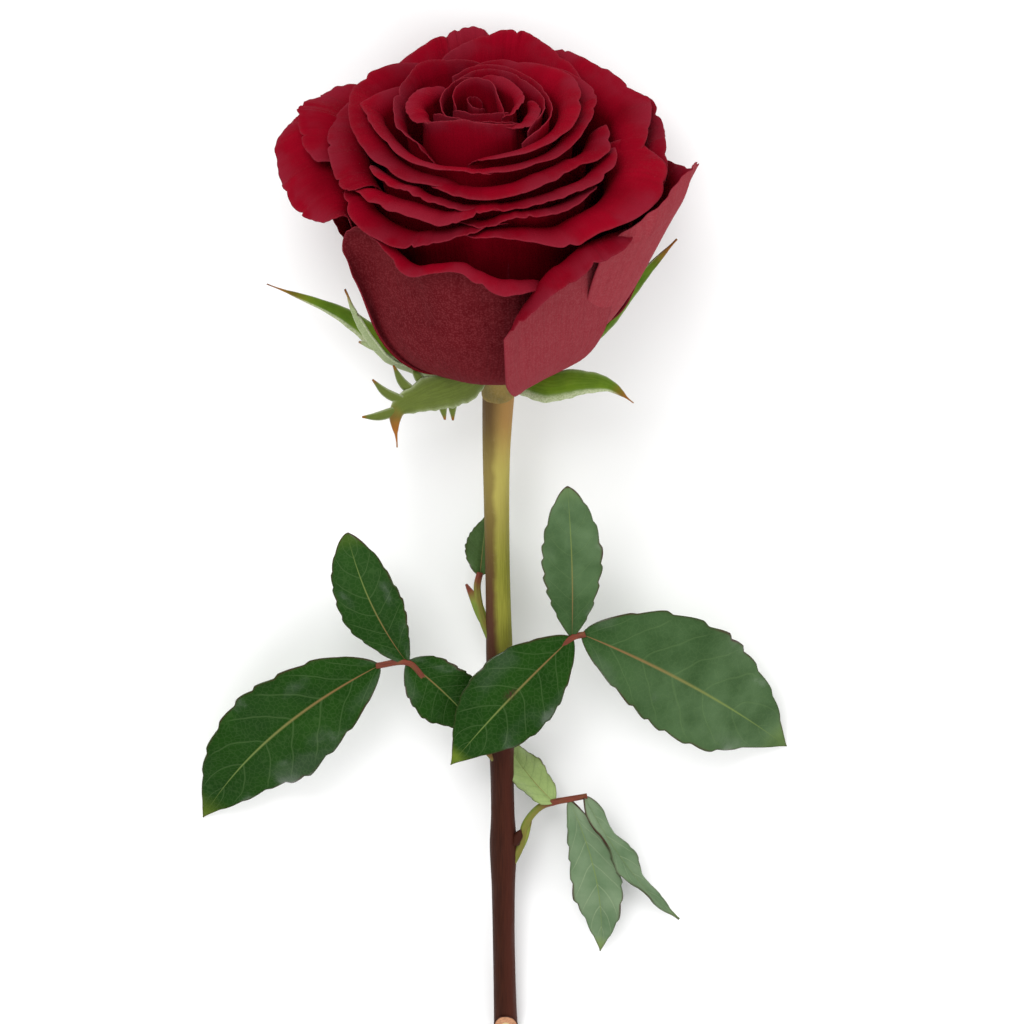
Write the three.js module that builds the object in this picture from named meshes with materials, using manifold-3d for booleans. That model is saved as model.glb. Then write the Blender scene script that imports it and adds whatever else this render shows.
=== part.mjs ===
// A cut red rose lying on a flat surface, as it is laid down after cutting: a high-centred bloom of
// overlapping petals, the green calyx under it, one stem with an oblique cut, and four compound leaves.
// Millimetres. +Y runs along the stem from the cut end to the bloom, +X is to the right as the flower
// is seen from above, +Z is up, and the surface it lies on is Z = 0.
import * as THREE from "three";
import { mergeVertices } from "three/addons/utils/BufferGeometryUtils.js";
import Module from "manifold-3d";

const wasm = await Module();
wasm.setup();
const { Manifold, Mesh: ManifoldMesh } = wasm;

// ---- Driving dimensions ----

const CENTRE = [-4.02, -11.92]; // where the middle of the flower's outline lies, moved to X = Y = 0
const GAP = 0.3; // between pieces that touch
const BLADE = 0.75; // thickness of petals, sepals and leaf blades

const RED = { color: 0x8a0f22, roughness: 0.75, metalness: 0 };
const STEM_BROWN = { color: 0x5c4128, roughness: 0.6, metalness: 0 };
const CALYX_GREEN = { color: 0x5f7f2a, roughness: 0.6, metalness: 0 };
const LEAF_GREEN = { color: 0x2c5524, roughness: 0.4, metalness: 0 };

// The stem's axis from the cut end to the calyx, and its radius at each point.
// It swells where a leaf joins it.
const STEM = [
  { at: [-1.2, -131.2, 2.8], r: 2.85 },
  { at: [-1.5, -120, 3.55], r: 2.55 },
  { at: [-1.8, -104, 5.2], r: 2.45 },
  { at: [-1.9, -90, 6.65], r: 2.6 },
  { at: [-1.9, -80, 7.7], r: 3.0 },
  { at: [-2.0, -72, 8.5], r: 2.6 },
  { at: [-2.2, -60, 9.75], r: 2.6 },
  { at: [-2.4, -52, 10.6], r: 2.95 },
  { at: [-2.5, -42, 11.6], r: 3.0 },
  { at: [-2.7, -33, 12.55], r: 2.9 },
  { at: [-2.9, -24, 13.4], r: 2.75 },
  { at: [-3.1, -12, 14.6], r: 2.65 },
  { at: [-3.3, 4, 15.8], r: 2.75 },
  { at: [-3.3, 14, 16.3], r: 2.95 },
  { at: [-3.1, 21.3, 16.8], r: 3.2 },
  { at: [-2.83, 27.7, 18.05], r: 3.45 },
];
const STEM_SIDES = 12;
const STEM_STEPS = 28; // along it
const CUT_ANGLE = 38; // degrees between the cut face and the stem's axis
const CUT_AT = new THREE.Vector3(-1.3, -127.25, 2.8); // where the cut face crosses the axis

// Where the petals stand on the flower's axis, and the axis's direction. The bloom lifts its face a
// little off the surface, because it rests on the side of its widest petals.
const BLOOM_BASE = new THREE.Vector3(-3.4, 37.3, 21);
const BLOOM_AXIS = new THREE.Vector3(-0.055, 0.956, 0.292).normalize();

// Every petal, from the heart outwards. rim lists points of its edge as azimuth in degrees (0 right,
// 90 towards the surface, 180 left, 270 up), radius and height on the bloom's axis. body is the
// radius its cupped lower part swells to. roll is the edge's turn away from the axis and lip the
// length that turns, each at the edge's start, middle and end; lean is the turn below the lip, and
// wave the height of the edge's ripples.
const PETALS = [
  {
    name: "bud_inner", body: 2.4, roll: [0, 0, 0], lip: [2, 2, 2], lean: -3, wave: 0.1,
    rim: [[70, 2.2, 63], [170, 2.6, 63.6], [280, 2.0, 62.6], [330, 1.7, 62]],
  },
  {
    name: "bud_fold", body: 4, roll: [30, 5, 10], lip: [3, 2, 2], lean: -4, wave: 0.1,
    rim: [
      [-48, 8.6, 62], [-34, 5.4, 63.3], [5, 3.4, 64.5], [100, 3.8, 65.1], [165, 4.6, 64.6],
      [214, 5.8, 63.6],
    ],
  },
  {
    name: "bud_left", body: 5.1, roll: [10, 10, 25], lip: [2, 2.5, 3], lean: -4, wave: 0.15,
    rim: [[80, 5.2, 64.3], [115, 5.4, 64.6], [158, 6.4, 64.3], [206, 8.6, 63.2]],
  },
  {
    name: "heart_fold", body: 6.1, roll: [50, 60, 15], lip: [3, 3.2, 2.5], lean: -3, wave: 0.3,
    rim: [
      [-54, 9.4, 62.6], [-32, 9.8, 62.8], [-8, 9.6, 62.8], [20, 8.2, 63.4], [60, 7.4, 63.9],
      [95, 7.2, 64],
    ],
  },
  {
    name: "heart_corner", body: 7.4, roll: [80, 100, 80], lip: [3, 3.8, 3], lean: -2, wave: 0.2,
    rim: [[-66, 10.4, 61.3], [-46, 12.3, 60.7], [-28, 12.5, 60.7], [-10, 11.8, 61.2]],
  },
  {
    name: "heart_front", body: 8.4, roll: [20, 6, 15], lip: [3, 3, 3], lean: -5, wave: 0.25,
    rim: [[218, 13.0, 62], [238, 12.4, 63], [253, 11.6, 63.7], [275, 11.8, 63], [297, 12.2, 62.2]],
  },
  {
    name: "heart_left", body: 8.2, roll: [50, 100, 95], lip: [3.5, 5, 4.5], lean: -2, wave: 0.3,
    rim: [[142, 10, 63.4], [168, 13.6, 62.5], [183, 15.1, 61.9], [198, 15.0, 61.3], [213, 14.4, 61.2]],
  },
  {
    name: "arc_inner", body: 8.9, roll: [10, 25, 10], lip: [2.5, 3, 2.5], lean: 1, wave: 0.2,
    rim: [
      [-44, 14, 61.2], [-25, 14.2, 61.6], [-7, 13.4, 62.1], [16, 11.4, 63], [42, 9.8, 63.8],
      [82, 9, 64.2],
      [125, 9.2, 63.8],
    ],
  },
  {
    name: "arc_outer", body: 10.1, roll: [10, 25, 10], lip: [2.5, 3, 2.5], lean: 2, wave: 0.2,
    rim: [
      [-54, 14.8, 60], [-30, 15.6, 60.5], [-7, 15.1, 61.2], [13, 13.4, 62.2], [44, 11.8, 63.4],
      [80, 11, 64.2],
      [120, 11.2, 64],
    ],
  },
  {
    name: "ring_right", body: 11.9, roll: [50, 90, 15], lip: [2.5, 6, 3.5], lean: 3, wave: 0.25,
    rim: [
      [-84, 18, 58], [-50, 18.8, 58.4], [-18, 20.2, 58.9], [3, 21, 59.2], [19, 21.8, 59.4],
      [31, 21.8, 60.2],
      [50, 18, 62.3], [73, 14.8, 63.7], [100, 13.4, 64],
    ],
  },
  {
    name: "ring_left", body: 11.6, roll: [20, 45, 45], lip: [4, 4.5, 4.5], lean: 3, wave: 0.4,
    rim: [
      [88, 15.6, 63.8], [128, 18.2, 63.9], [144, 17.4, 63], [163, 17.4, 62.3], [181, 17.8, 61.8],
      [197, 17.8, 61.2], [216, 17.6, 60.4],
    ],
  },
  {
    name: "ring_front", body: 13.6, roll: [55, 80, 70], lip: [6, 5.2, 4.4], lean: 5, wave: 0.3,
    rim: [
      [148, 20.6, 61.6], [166, 25.2, 59.8], [172, 24.6, 59.5], [187, 22.6, 59], [208, 21.4, 58.6],
      [236, 21.2, 57.9], [260, 21.4, 57.6], [272, 21.8, 57.2],
    ],
  },
  {
    name: "round_right", body: 14.2, roll: [75, 90, 45], lip: [4.5, 6, 6], lean: 5, wave: 0.3,
    rim: [
      [-86, 21.4, 57], [-68, 21, 56.6], [-40, 21, 56.3], [-20, 21.6, 56.2], [-6, 22.4, 56.3],
      [8, 24, 56.7],
      [16, 25, 56.9], [24, 25.8, 57.4], [39, 24, 59.4], [58, 21.5, 61.2],
    ],
  },
  {
    name: "round_left", body: 16, roll: [45, 100, 80], lip: [6, 7.4, 6], lean: 6, wave: 0.4,
    rim: [
      [119, 24.6, 61], [137, 28.2, 60.2], [146, 30.0, 59], [158, 29.2, 57.9], [172, 27.4, 57.2],
      [185, 26.2, 56.8],
      [200, 25, 56.2], [222, 24.2, 55.2], [246, 24, 54.8],
    ],
  },
  {
    name: "back_crown", body: 16.6, roll: [50, 55, 30], lip: [7, 9, 6], lean: 7, wave: 0.4,
    rim: [
      [28, 25.4, 57.6], [38, 25.8, 58.6], [58, 27.4, 60.4], [70, 28.9, 61.9], [75, 28.8, 62.3],
      [86, 25.8, 62.5],
      [99, 23.4, 62.4], [113, 22, 62.1],
    ],
  },
  {
    name: "mid_front", body: 18, roll: [85, 100, 80], lip: [6.5, 8, 8], lean: 7, wave: 0.4,
    rim: [
      [249, 24.6, 55.1], [258, 25.2, 54.5], [267, 25.6, 54.2], [287, 26, 53.8], [300, 25.4, 53.7],
      [315, 24.6, 53.6], [325, 24.2, 53.8], [333, 26, 53.3], [343, 27.6, 53.2], [351, 27.8, 53.4],
      [362, 28, 54.2],
    ],
  },
  {
    name: "mid_left", body: 18.4, roll: [80, 85, 80], lip: [6, 6.2, 5.5], lean: 8, wave: 0.3,
    rim: [
      [206, 27.6, 55], [222, 27, 54.6], [234, 26.6, 54.2], [240, 26.8, 53.8], [250, 26.4, 53],
      [262, 26.6, 51.8],
    ],
  },
  {
    name: "under_right", body: 20.4, roll: [85, 90, 85], lip: [6, 7.4, 7], lean: 9, wave: 0.3,
    rim: [
      [280, 27.4, 51.8], [293, 27.8, 51.9], [306, 28.2, 51.5], [318, 29, 51.4], [335, 29.8, 51.8],
      [350, 30.2, 52.2],
    ],
  },
  {
    name: "side_left", body: 22, roll: [85, 100, 100], lip: [9, 10, 9], lean: 10, wave: 0.3,
    rim: [
      [150, 31.2, 55.2], [163, 31.8, 54.5], [178, 31.8, 53.4], [190, 31.6, 52.8], [201, 32, 52],
      [209, 32.4, 51.4],
      [213, 31.8, 51.4],
    ],
  },
  {
    name: "front_left", body: 23, roll: [90, 100, 85], lip: [6, 8.4, 4.5], lean: 10, wave: 0.4,
    rim: [
      [205, 31.4, 50.8], [214, 31, 51.8], [222, 31, 51.6], [232, 31, 51.3], [244, 30.6, 51.2],
      [254, 30.6, 50.9],
      [260, 30, 50.8], [266, 28.8, 51.3], [271, 28, 52], [278, 27, 52.8],
    ],
  },
  {
    name: "under_front", body: 21.6, roll: [80, 90, 85], lip: [5.4, 7, 6.5], lean: 10, wave: 0.3,
    rim: [
      [269, 28.6, 49], [277, 28.8, 50], [284, 29.2, 50.5], [290, 29.8, 50.3], [300, 30, 50],
      [312, 30.2, 49.8], [326, 30.6, 49.6],
    ],
  },
  {
    name: "back_high", body: 22.4, roll: [45, 60, 45], lip: [7, 8, 7], lean: 10, wave: 0.5,
    rim: [
      [66, 30.4, 57], [84, 31, 59.4], [91, 32.8, 60.2], [98, 32.7, 60.4], [104, 31.4, 60.4],
      [114, 29.6, 60],
      [134, 30.6, 57.6],
    ],
  },
  {
    name: "back_right", body: 23.6, roll: [95, 90, 50], lip: [8, 10, 8], lean: 11, wave: 0.5,
    rim: [
      [352, 33.6, 49.2], [358, 34, 49.8], [366, 34.8, 50.4], [374, 36.2, 51.4], [381, 37.6, 52.4],
      [386, 36, 53.6],
      [392, 33.6, 55], [400, 31.8, 56.8], [411, 31.2, 58.2], [417, 31.2, 58.8], [424, 29.6, 58.6],
    ],
  },
  {
    name: "low_front_left", body: 24.4, roll: [95, 105, 85], lip: [8, 8.6, 4.5], lean: 12, wave: 0.4,
    rim: [
      [206, 33.6, 49.8], [213, 33.8, 49.2], [219, 34.2, 47.6], [229, 33.9, 46.2], [241, 33.5, 45.5],
      [246, 33.1, 45.7], [250, 32.2, 46.4], [256, 31.2, 47.4], [262, 30.2, 48.2], [266, 29.8, 48.4],
    ],
  },
  {
    name: "front_right", body: 23.8, roll: [80, 110, 90], lip: [4, 11, 14], lean: 12, wave: 0.4,
    rim: [
      [267, 29.8, 47.4], [274, 30, 47.6], [281, 30.6, 46.2], [289, 31.8, 45.3], [297, 33.6, 44.3],
      [303, 34.9, 44.1],
      [309, 35.5, 45.2], [316, 37, 45.9], [325, 39.2, 46.3], [334, 40.6, 47.5], [343, 39.8, 48.5],
      [350, 38.2, 49.2],
    ],
  },
  {
    name: "far_left", body: 24.2, roll: [70, 95, 95], lip: [9, 13, 11], lean: 12, wave: 0.5,
    rim: [
      [134, 33.4, 53], [146, 36.6, 54.4], [157, 39.6, 54.8], [164, 39.6, 54.6], [172, 38.2, 53],
      [184, 36.4, 50],
    ],
  },
  {
    name: "side_right", body: 26.6, roll: [80, 75, 80], lip: [7, 8, 7], lean: 14, wave: 0.4,
    rim: [
      [340, 38.4, 44], [350, 38.4, 46.4], [360, 38, 48], [373, 38.4, 49], [388, 39.6, 49.6],
      [400, 37.6, 49],
    ],
  },
  {
    name: "droop_left", body: 27.2, roll: [100, 135, 130], lip: [9, 15, 6], lean: 15, wave: 0.6,
    rim: [
      [148, 39.4, 50.6], [157, 41.8, 51], [165, 43.8, 47.8], [173, 43.6, 45], [182, 41, 42],
      [190, 38.4, 40.4],
      [197, 36.8, 41.2], [208, 36, 44],
    ],
  },
  {
    name: "low_back", body: 25.6, roll: [75, 80, 75], lip: [6, 6, 6], lean: 14, wave: 0.5,
    rim: [[52, 35.4, 45], [92, 35.4, 46], [132, 35.2, 45]],
  },
  {
    name: "guard_back_left", body: 28.4, roll: [85, 90, 30], lip: [4, 5, 4], lean: 15, wave: 0.4,
    rim: [[114, 36.6, 39], [146, 37.2, 39], [178, 36, 38], [204, 31.6, 36]],
  },
  {
    name: "guard_back_right", body: 28.2, roll: [70, 90, 85], lip: [4, 5, 4], lean: 16, wave: 0.4,
    rim: [[-14, 37.8, 35], [20, 38.6, 37.5], [66, 36.8, 38.6]],
  },
  {
    name: "guard_back", body: 29.6, roll: [85, 95, 90], lip: [5, 5.6, 5], lean: 15, wave: 0.4,
    rim: [[42, 38.6, 37.6], [68, 39.2, 38.6], [96, 39.4, 39], [136, 38.6, 37.8]],
  },
  {
    name: "guard_left", body: 30, roll: [20, 100, 125], lip: [2.5, 4.5, 9], lean: 16, wave: 0.4,
    rim: [
      [205, 35, 42.5], [216, 35.4, 44.5], [224, 35.2, 45], [233, 34.4, 44.4], [240, 35.2, 41.6],
      [246, 36, 40.9],
      [254, 34.8, 42], [262, 34.4, 41.6], [268, 36.6, 39.8], [274, 39.4, 39.2], [280, 40, 39.4],
      [289, 38.8, 39.4],
    ],
  },
  {
    name: "guard_flare", body: 27.4, roll: [40, 62, 75], lip: [5, 13, 9], lean: 14, wave: 0.4,
    rim: [
      [313, 33.4, 37], [322, 34.2, 39], [328, 35.2, 41.4], [332, 38, 43], [337, 43, 44.6],
      [343, 45.5, 47],
      [349, 45.7, 50], [353, 43.8, 50.2], [362, 41, 47.5], [376, 40, 44],
    ],
  },
  {
    name: "guard_right", body: 30.8, roll: [60, 115, 80], lip: [3, 7, 4.5], lean: 17, wave: 0.4,
    rim: [
      [275, 39, 33.4], [281, 40.4, 34.2], [287, 40.2, 36.2], [291, 38.8, 39], [296, 39.2, 39.4],
      [302, 38.2, 39],
      [307, 37, 41], [312, 37.8, 41], [316, 39.4, 38.8], [320, 38.8, 39.4], [324, 38.6, 40.6],
      [328, 38.4, 41],
    ],
  },
];
const ROOT_Z = [0.8, 29]; // heights where the outermost and the innermost petal leave the axis
const ROOT_CROWDING = 1.6; // how much closer together the outer roots are
const PETAL_CORNER = 0.1; // share of its length that a petal loses at its rounded corners
const PETAL_CLAW = 0.34; // width at the root as a share of the full width
// The receptacle inside the petals, as radius and height.
const CORE = [[0, 0.3], [5.0, 0.3], [6.6, 3], [5.4, 14], [3.6, 24], [2.2, 31], [0, 32]];
const FLOOR_SOFT = 1.0; // how gradually the petals flatten onto the surface
const FLOOR_SKIN = 0.05; // height of the middle of a petal that lies flat on it

// The calyx: the hip's outline as radius and height on the bloom's axis, then five sepals.
const HIP = [[0, -10.6], [3.5, -10.6], [4.3, -8], [5.3, -4.5], [5.2, -1.6], [4.2, 0], [0, 0]];
const HIP_SIDES = 14;
// The room the petals' undersides need, which the sepals keep clear of: radius and height.
const BELLY = [
  [0, 0], [8, 0], [14, 0.9], [19, 2.2], [22.6, 5], [25.2, 8.5], [28, 14], [30.8, 21], [33, 30],
  [36, 40], [0, 40],
];
// Each sepal's middle line as azimuth, radius and height on the bloom's axis, its half width, and
// its lobes: where each leaves the middle line (0 to 1), its side, length and turn towards the tip.
const SEPALS = [
  {
    name: "left_long", half: 2.7, face: [0, 0.35, 1], lobes: [[0.45, 1, 4, 0.6]],
    line: [[150, 4.4, -1.6], [172, 12, -1.6], [178, 21.2, 1.5], [171, 33, 8.5], [169, 48.7, 14]],
  },
  {
    name: "left_near", half: 2.2, face: [-0.5, -0.3, 0.85], lobes: [[0.5, -1, 3, 0.8]],
    line: [
      [178, 4.4, -1.6], [190, 14, -1.4], [196, 22, 4.5], [198, 26.8, 12], [195, 29.8, 18],
      [190, 31.8, 24],
    ],
  },
  {
    name: "front_left", half: 4.4, face: [-0.1, -0.2, 1],
    lobes: [
      [0.4, 1, 6.5, 0.5], [0.5, 1, 6.5, 0.5], [0.6, 1, 6, 0.6], [0.3, -1, 4, 0.5], [0.44, -1, 4, 0.4],
    ],
    line: [
      [250, 4.4, -1.6], [262, 10.5, -2.6], [236, 14, -2.6], [212, 18.5, -4.4], [210, 24.6, -6],
      [214, 26, -13],
    ],
  },
  {
    name: "front_right", half: 3.3, face: [0.1, 0.2, 1], lobes: [],
    line: [
      [305, 4.4, -1.6], [284, 11, -2.4], [306, 15.6, -2.4], [327, 20, -2.2], [338, 25, -4],
      [342, 30, -8],
    ],
  },
  {
    name: "right_back", half: 2.1, face: [0.5, 0, 0.85], lobes: [[0.5, -1, 4, 0.5], [0.3, -1, 4.5, 0.4]],
    line: [[25, 4.4, -1.6], [0, 14, -0.8], [-3, 22.4, 6.5], [5, 31.5, 15.5], [11, 40, 21.5]],
  },
];

// The compound leaves. petiole is the stalk's path, from the stem out to the last leaflet, and each
// leaflet has its base, its tip, its half width, its arch above the straight line between them, the
// way its face points and its fold along the midrib.
const LEAVES = [
  {
    name: "leaf_left", stipule: [-0.6, 1, 0.1],
    petiole: [
      [-2.6, -59, 10.4], [-6.4, -54.6, 11.8], [-12.4, -46.3, 14.5], [-18.2, -38.7, 17],
      [-22.3, -33.2, 18.3],
      [-29.4, -34.0, 18],
    ],
    leaflets: [
      {
        base: [-28.6, -33.9, 18], tip: [-68.6, -75.9, 0.42], half: 12.6,
        arch: 4, face: [0.1, 0.15, 1], fold: 0.12, bend: 2.5,
      },
      {
        base: [-22.4, -33.6, 18.2], tip: [-35.2, -2.4, 22], half: 7.4,
        arch: 1.5, face: [-0.1, -0.1, 1], fold: 0.12, bend: 1,
      },
      {
        base: [-22.6, -33.0, 18.2], tip: [-7.4, -50.4, 13.6], half: 6.9,
        arch: 1, face: [-0.1, 0, 1], fold: 0.1, bend: -1,
      },
    ],
  },
  {
    name: "leaf_right", stipule: [0.5, 1, 0.6],
    petiole: [
      [-1.6, -51.5, 12.2], [-0.2, -47, 14.8], [3.9, -38.2, 17.4], [8.6, -31.4, 19.6], [12.9, -26.5, 21],
      [15.8, -25.7, 21],
    ],
    leaflets: [
      {
        base: [15.0, -25.7, 21], tip: [60.6, -59.1, 0.45], half: 13.2,
        arch: 5, face: [0.15, 0.2, 1], fold: 0.1, bend: 2,
      },
      {
        base: [12.9, -26.6, 21], tip: [11.7, 9.3, 26], half: 6.8,
        arch: 1, face: [0.1, -0.1, 1], fold: 0.15, bend: 0.5,
      },
      {
        base: [13.0, -26.4, 21], tip: [-13.3, -56.8, 18], half: 9.6,
        arch: 1.6, face: [-0.05, 0, 1], fold: 0.08, bend: 1,
      },
    ],
  },
  {
    name: "leaf_lower", stipule: [0.4, 1, 0.1],
    petiole: [
      [-1.0, -85, 7.4], [1.7, -80.1, 8.2], [3.1, -74, 9.2], [6.2, -70, 9.6], [9.5, -68.8, 9.6],
      [12.8, -68.3, 9.2], [16.5, -67.8, 8.6],
    ],
    leaflets: [
      {
        base: [16.0, -67.8, 8.7], tip: [37.3, -100, 1.4], half: 5.2,
        arch: 2.5, face: [0.75, 0.4, 0.55], fold: 0.15, bend: 2,
      },
      {
        base: [12.4, -68.3, 9.2], tip: [19.7, -107.3, 2.2], half: 5.8,
        arch: 2.5, face: [-0.15, 0.1, 1], fold: 0.12, bend: -0.5,
      },
      {
        base: [9.3, -68.9, 9.6], tip: [-2.2, -55.4, 3.2], half: 4.4,
        arch: 0.6, face: [0.5, 0.5, 0.7], fold: 0.1, bend: -0.8,
      },
    ],
  },
  {
    name: "leaf_upper", stipule: [-0.75, 1, -0.05],
    petiole: [
      [-3.6, -31, 12.8], [-6.2, -25.5, 12.8], [-7.2, -21.4, 12.4], [-7.5, -17.6, 12], [-6.9, -14.9, 11.4],
    ],
    leaflets: [
      {
        base: [-6.95, -15.6, 11.6], tip: [-5.6, -2.7, 9.4], half: 4.8,
        arch: -0.4, face: [-0.1, 0.1, 1], fold: 0.08, bend: 0,
      },
    ],
  },
];
const TEETH = 8; // on each side of a leaflet
const TOOTH = 0.07; // how far a tooth stands out, as a share of the half width
const PETIOLE_R = 0.95;
const BUD = { at: [0.9, -78.2, 9.2], length: 3.2, r: 1.05 }; // the bud in the lowest leaf's axil

// ---- Solids from grids and outlines ----

const radians = (degrees) => (degrees * Math.PI) / 180;
const vector = (p) => new THREE.Vector3(...p);

// A closed three.js geometry as a manifold solid.
function solidOf(geometry) {
  const bare = geometry.clone();
  bare.deleteAttribute("normal");
  bare.deleteAttribute("uv");
  const merged = mergeVertices(bare, 1e-4);
  return new Manifold(
    new ManifoldMesh({
      numProp: 3,
      vertProperties: merged.attributes.position.array,
      triVerts: new Uint32Array(merged.index.array),
    }),
  );
}

function geometryOf(solid) {
  const mesh = solid.getMesh();
  const geometry = new THREE.BufferGeometry();
  geometry.setAttribute("position", new THREE.BufferAttribute(mesh.vertProperties, 3));
  geometry.setIndex(new THREE.BufferAttribute(mesh.triVerts, 1));
  geometry.computeVertexNormals();
  return geometry;
}

function indexed(points, index) {
  const geometry = new THREE.BufferGeometry();
  const numbers = points.flatMap((p) => p.toArray());
  geometry.setAttribute("position", new THREE.Float32BufferAttribute(numbers, 3));
  geometry.setIndex(index);
  return geometry;
}

// The largest body of a solid, with any hollow that fusing sealed left filled.
function largestBody(solid) {
  return solid.decompose().reduce((best, body) => (body.volume() > best.volume() ? body : best));
}

// A blade: a middle surface given as rows of points, made solid by moving it half its thickness both
// ways along its normals. Both faces are split into triangles alike.
function blade(rows, thickness) {
  const across = rows[0].length;
  const along = rows.length;
  const at = (j, i) => rows[Math.min(Math.max(j, 0), along - 1)][Math.min(Math.max(i, 0), across - 1)];
  const upper = [];
  const lower = [];
  for (let j = 0; j < along; j++) {
    for (let i = 0; i < across; i++) {
      const sideways = at(j, i + 1).clone().sub(at(j, i - 1));
      const forwards = at(j + 1, i).clone().sub(at(j - 1, i));
      const normal = sideways.cross(forwards).normalize().multiplyScalar(thickness / 2);
      upper.push(at(j, i).clone().add(normal));
      lower.push(at(j, i).clone().sub(normal));
    }
  }
  const points = [...upper, ...lower];
  const under = upper.length;
  const index = [];
  const quad = (a, b, c, d) => index.push(a, b, c, a, c, d);
  for (let j = 0; j < along - 1; j++) {
    for (let i = 0; i < across - 1; i++) {
      const a = j * across + i;
      const [b, c, d] = [a + 1, a + across + 1, a + across];
      quad(a, b, c, d);
      index.push(under + a, under + c, under + b, under + a, under + d, under + c);
    }
  }
  const rim = [];
  for (let i = 0; i < across - 1; i++) rim.push(i);
  for (let j = 0; j < along - 1; j++) rim.push(j * across + across - 1);
  for (let i = across - 1; i > 0; i--) rim.push((along - 1) * across + i);
  for (let j = along - 1; j > 0; j--) rim.push(j * across);
  rim.forEach((a, k) => {
    const b = rim[(k + 1) % rim.length];
    quad(under + a, under + b, b, a);
  });
  return solidOf(indexed(points, index));
}

// A tube of changing radius along a smooth curve through the given points.
function tube(points, radii, sides, steps) {
  const curve = new THREE.CatmullRomCurve3(points.map(vector), false, "centripetal");
  const radiusAt = (t) => {
    const place = t * (radii.length - 1);
    const k = Math.min(Math.floor(place), radii.length - 2);
    return THREE.MathUtils.lerp(radii[k], radii[k + 1], place - k);
  };
  const sideways = new THREE.Vector3(0.31, 0.05, 1);
  const positions = [];
  for (let j = 0; j <= steps; j++) {
    const t = j / steps;
    const centre = curve.getPoint(t);
    const along = curve.getTangent(t);
    const right = along.clone().cross(sideways).normalize();
    const up = right.clone().cross(along);
    for (let i = 0; i < sides; i++) {
      const angle = (2 * Math.PI * i) / sides;
      const spoke = right.clone().multiplyScalar(Math.cos(angle)).addScaledVector(up, Math.sin(angle));
      positions.push(centre.clone().addScaledVector(spoke, radiusAt(t)));
    }
  }
  const first = positions.push(curve.getPoint(0)) - 1;
  const last = positions.push(curve.getPoint(1)) - 1;
  const index = [];
  for (let i = 0; i < sides; i++) {
    const next = (i + 1) % sides;
    for (let j = 0; j < steps; j++) {
      const [a, b] = [j * sides + i, j * sides + next];
      index.push(a, b + sides, b, a, a + sides, b + sides);
    }
    index.push(first, i, next, last, steps * sides + next, steps * sides + i);
  }
  const solid = solidOf(indexed(positions, index));
  if (solid.volume() < 0) throw new Error("a tube is inside out");
  return solid;
}

// ---- The bloom ----

const toBloomFrame = new THREE.Matrix4();
{
  const right = new THREE.Vector3(1, 0, 0).addScaledVector(BLOOM_AXIS, -BLOOM_AXIS.x).normalize();
  const back = BLOOM_AXIS.clone().cross(right);
  toBloomFrame.makeBasis(right, back, BLOOM_AXIS).setPosition(BLOOM_BASE);
}

// A place given as azimuth in degrees, radius and height on the bloom's axis.
function onBloom(azimuth, radius, height) {
  const angle = radians(azimuth);
  const p = new THREE.Vector3(radius * Math.cos(angle), radius * Math.sin(angle), height);
  return p.applyMatrix4(toBloomFrame);
}

// The quadratic through a triple's values at -1, 0 and 1.
function acrossTriple([low, mid, high], u) {
  return mid + ((high - low) / 2) * u + ((low + high) / 2 - mid) * u * u;
}

// Petals that reach below the surface flatten onto it.
function settle(p) {
  const over = (p.z - FLOOR_SKIN) / FLOOR_SOFT;
  const softened = over > 20 ? over : Math.log1p(Math.exp(over));
  return new THREE.Vector3(p.x, p.y, FLOOR_SKIN + FLOOR_SOFT * softened);
}

// The path from the neck over the lip, as points of radius and height beyond the neck. Its turn away
// from the axis grows quickly at first and slowly towards the rim.
function lipPath(lean, turn, lip) {
  const parts = 12;
  const path = [new THREE.Vector2(0, 0)];
  for (let k = 0; k < parts; k++) {
    const angle = lean + turn * (1 - (1 - (k + 0.5) / parts) ** 2);
    const step = new THREE.Vector2(Math.sin(angle), Math.cos(angle)).multiplyScalar(lip / parts);
    path.push(path[k].clone().add(step));
  }
  return path;
}

// A petal's rim at u from -1 to 1 along it: azimuth, radius and height on the bloom's axis.
function rimAt(petal, u) {
  const edge = new THREE.CatmullRomCurve3(petal.rim.map(vector), false, "catmullrom");
  return edge.getPoint((THREE.MathUtils.clamp(u, -1, 1) + 1) / 2);
}

// The same with its corners and notches smoothed out.
function smoothRimAt(petal, u) {
  const shifts = [-0.4, -0.2, 0, 0.2, 0.4];
  const sum = new THREE.Vector3();
  for (const shift of shifts) sum.add(rimAt(petal, u + shift));
  return sum.divideScalar(shifts.length);
}

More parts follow.
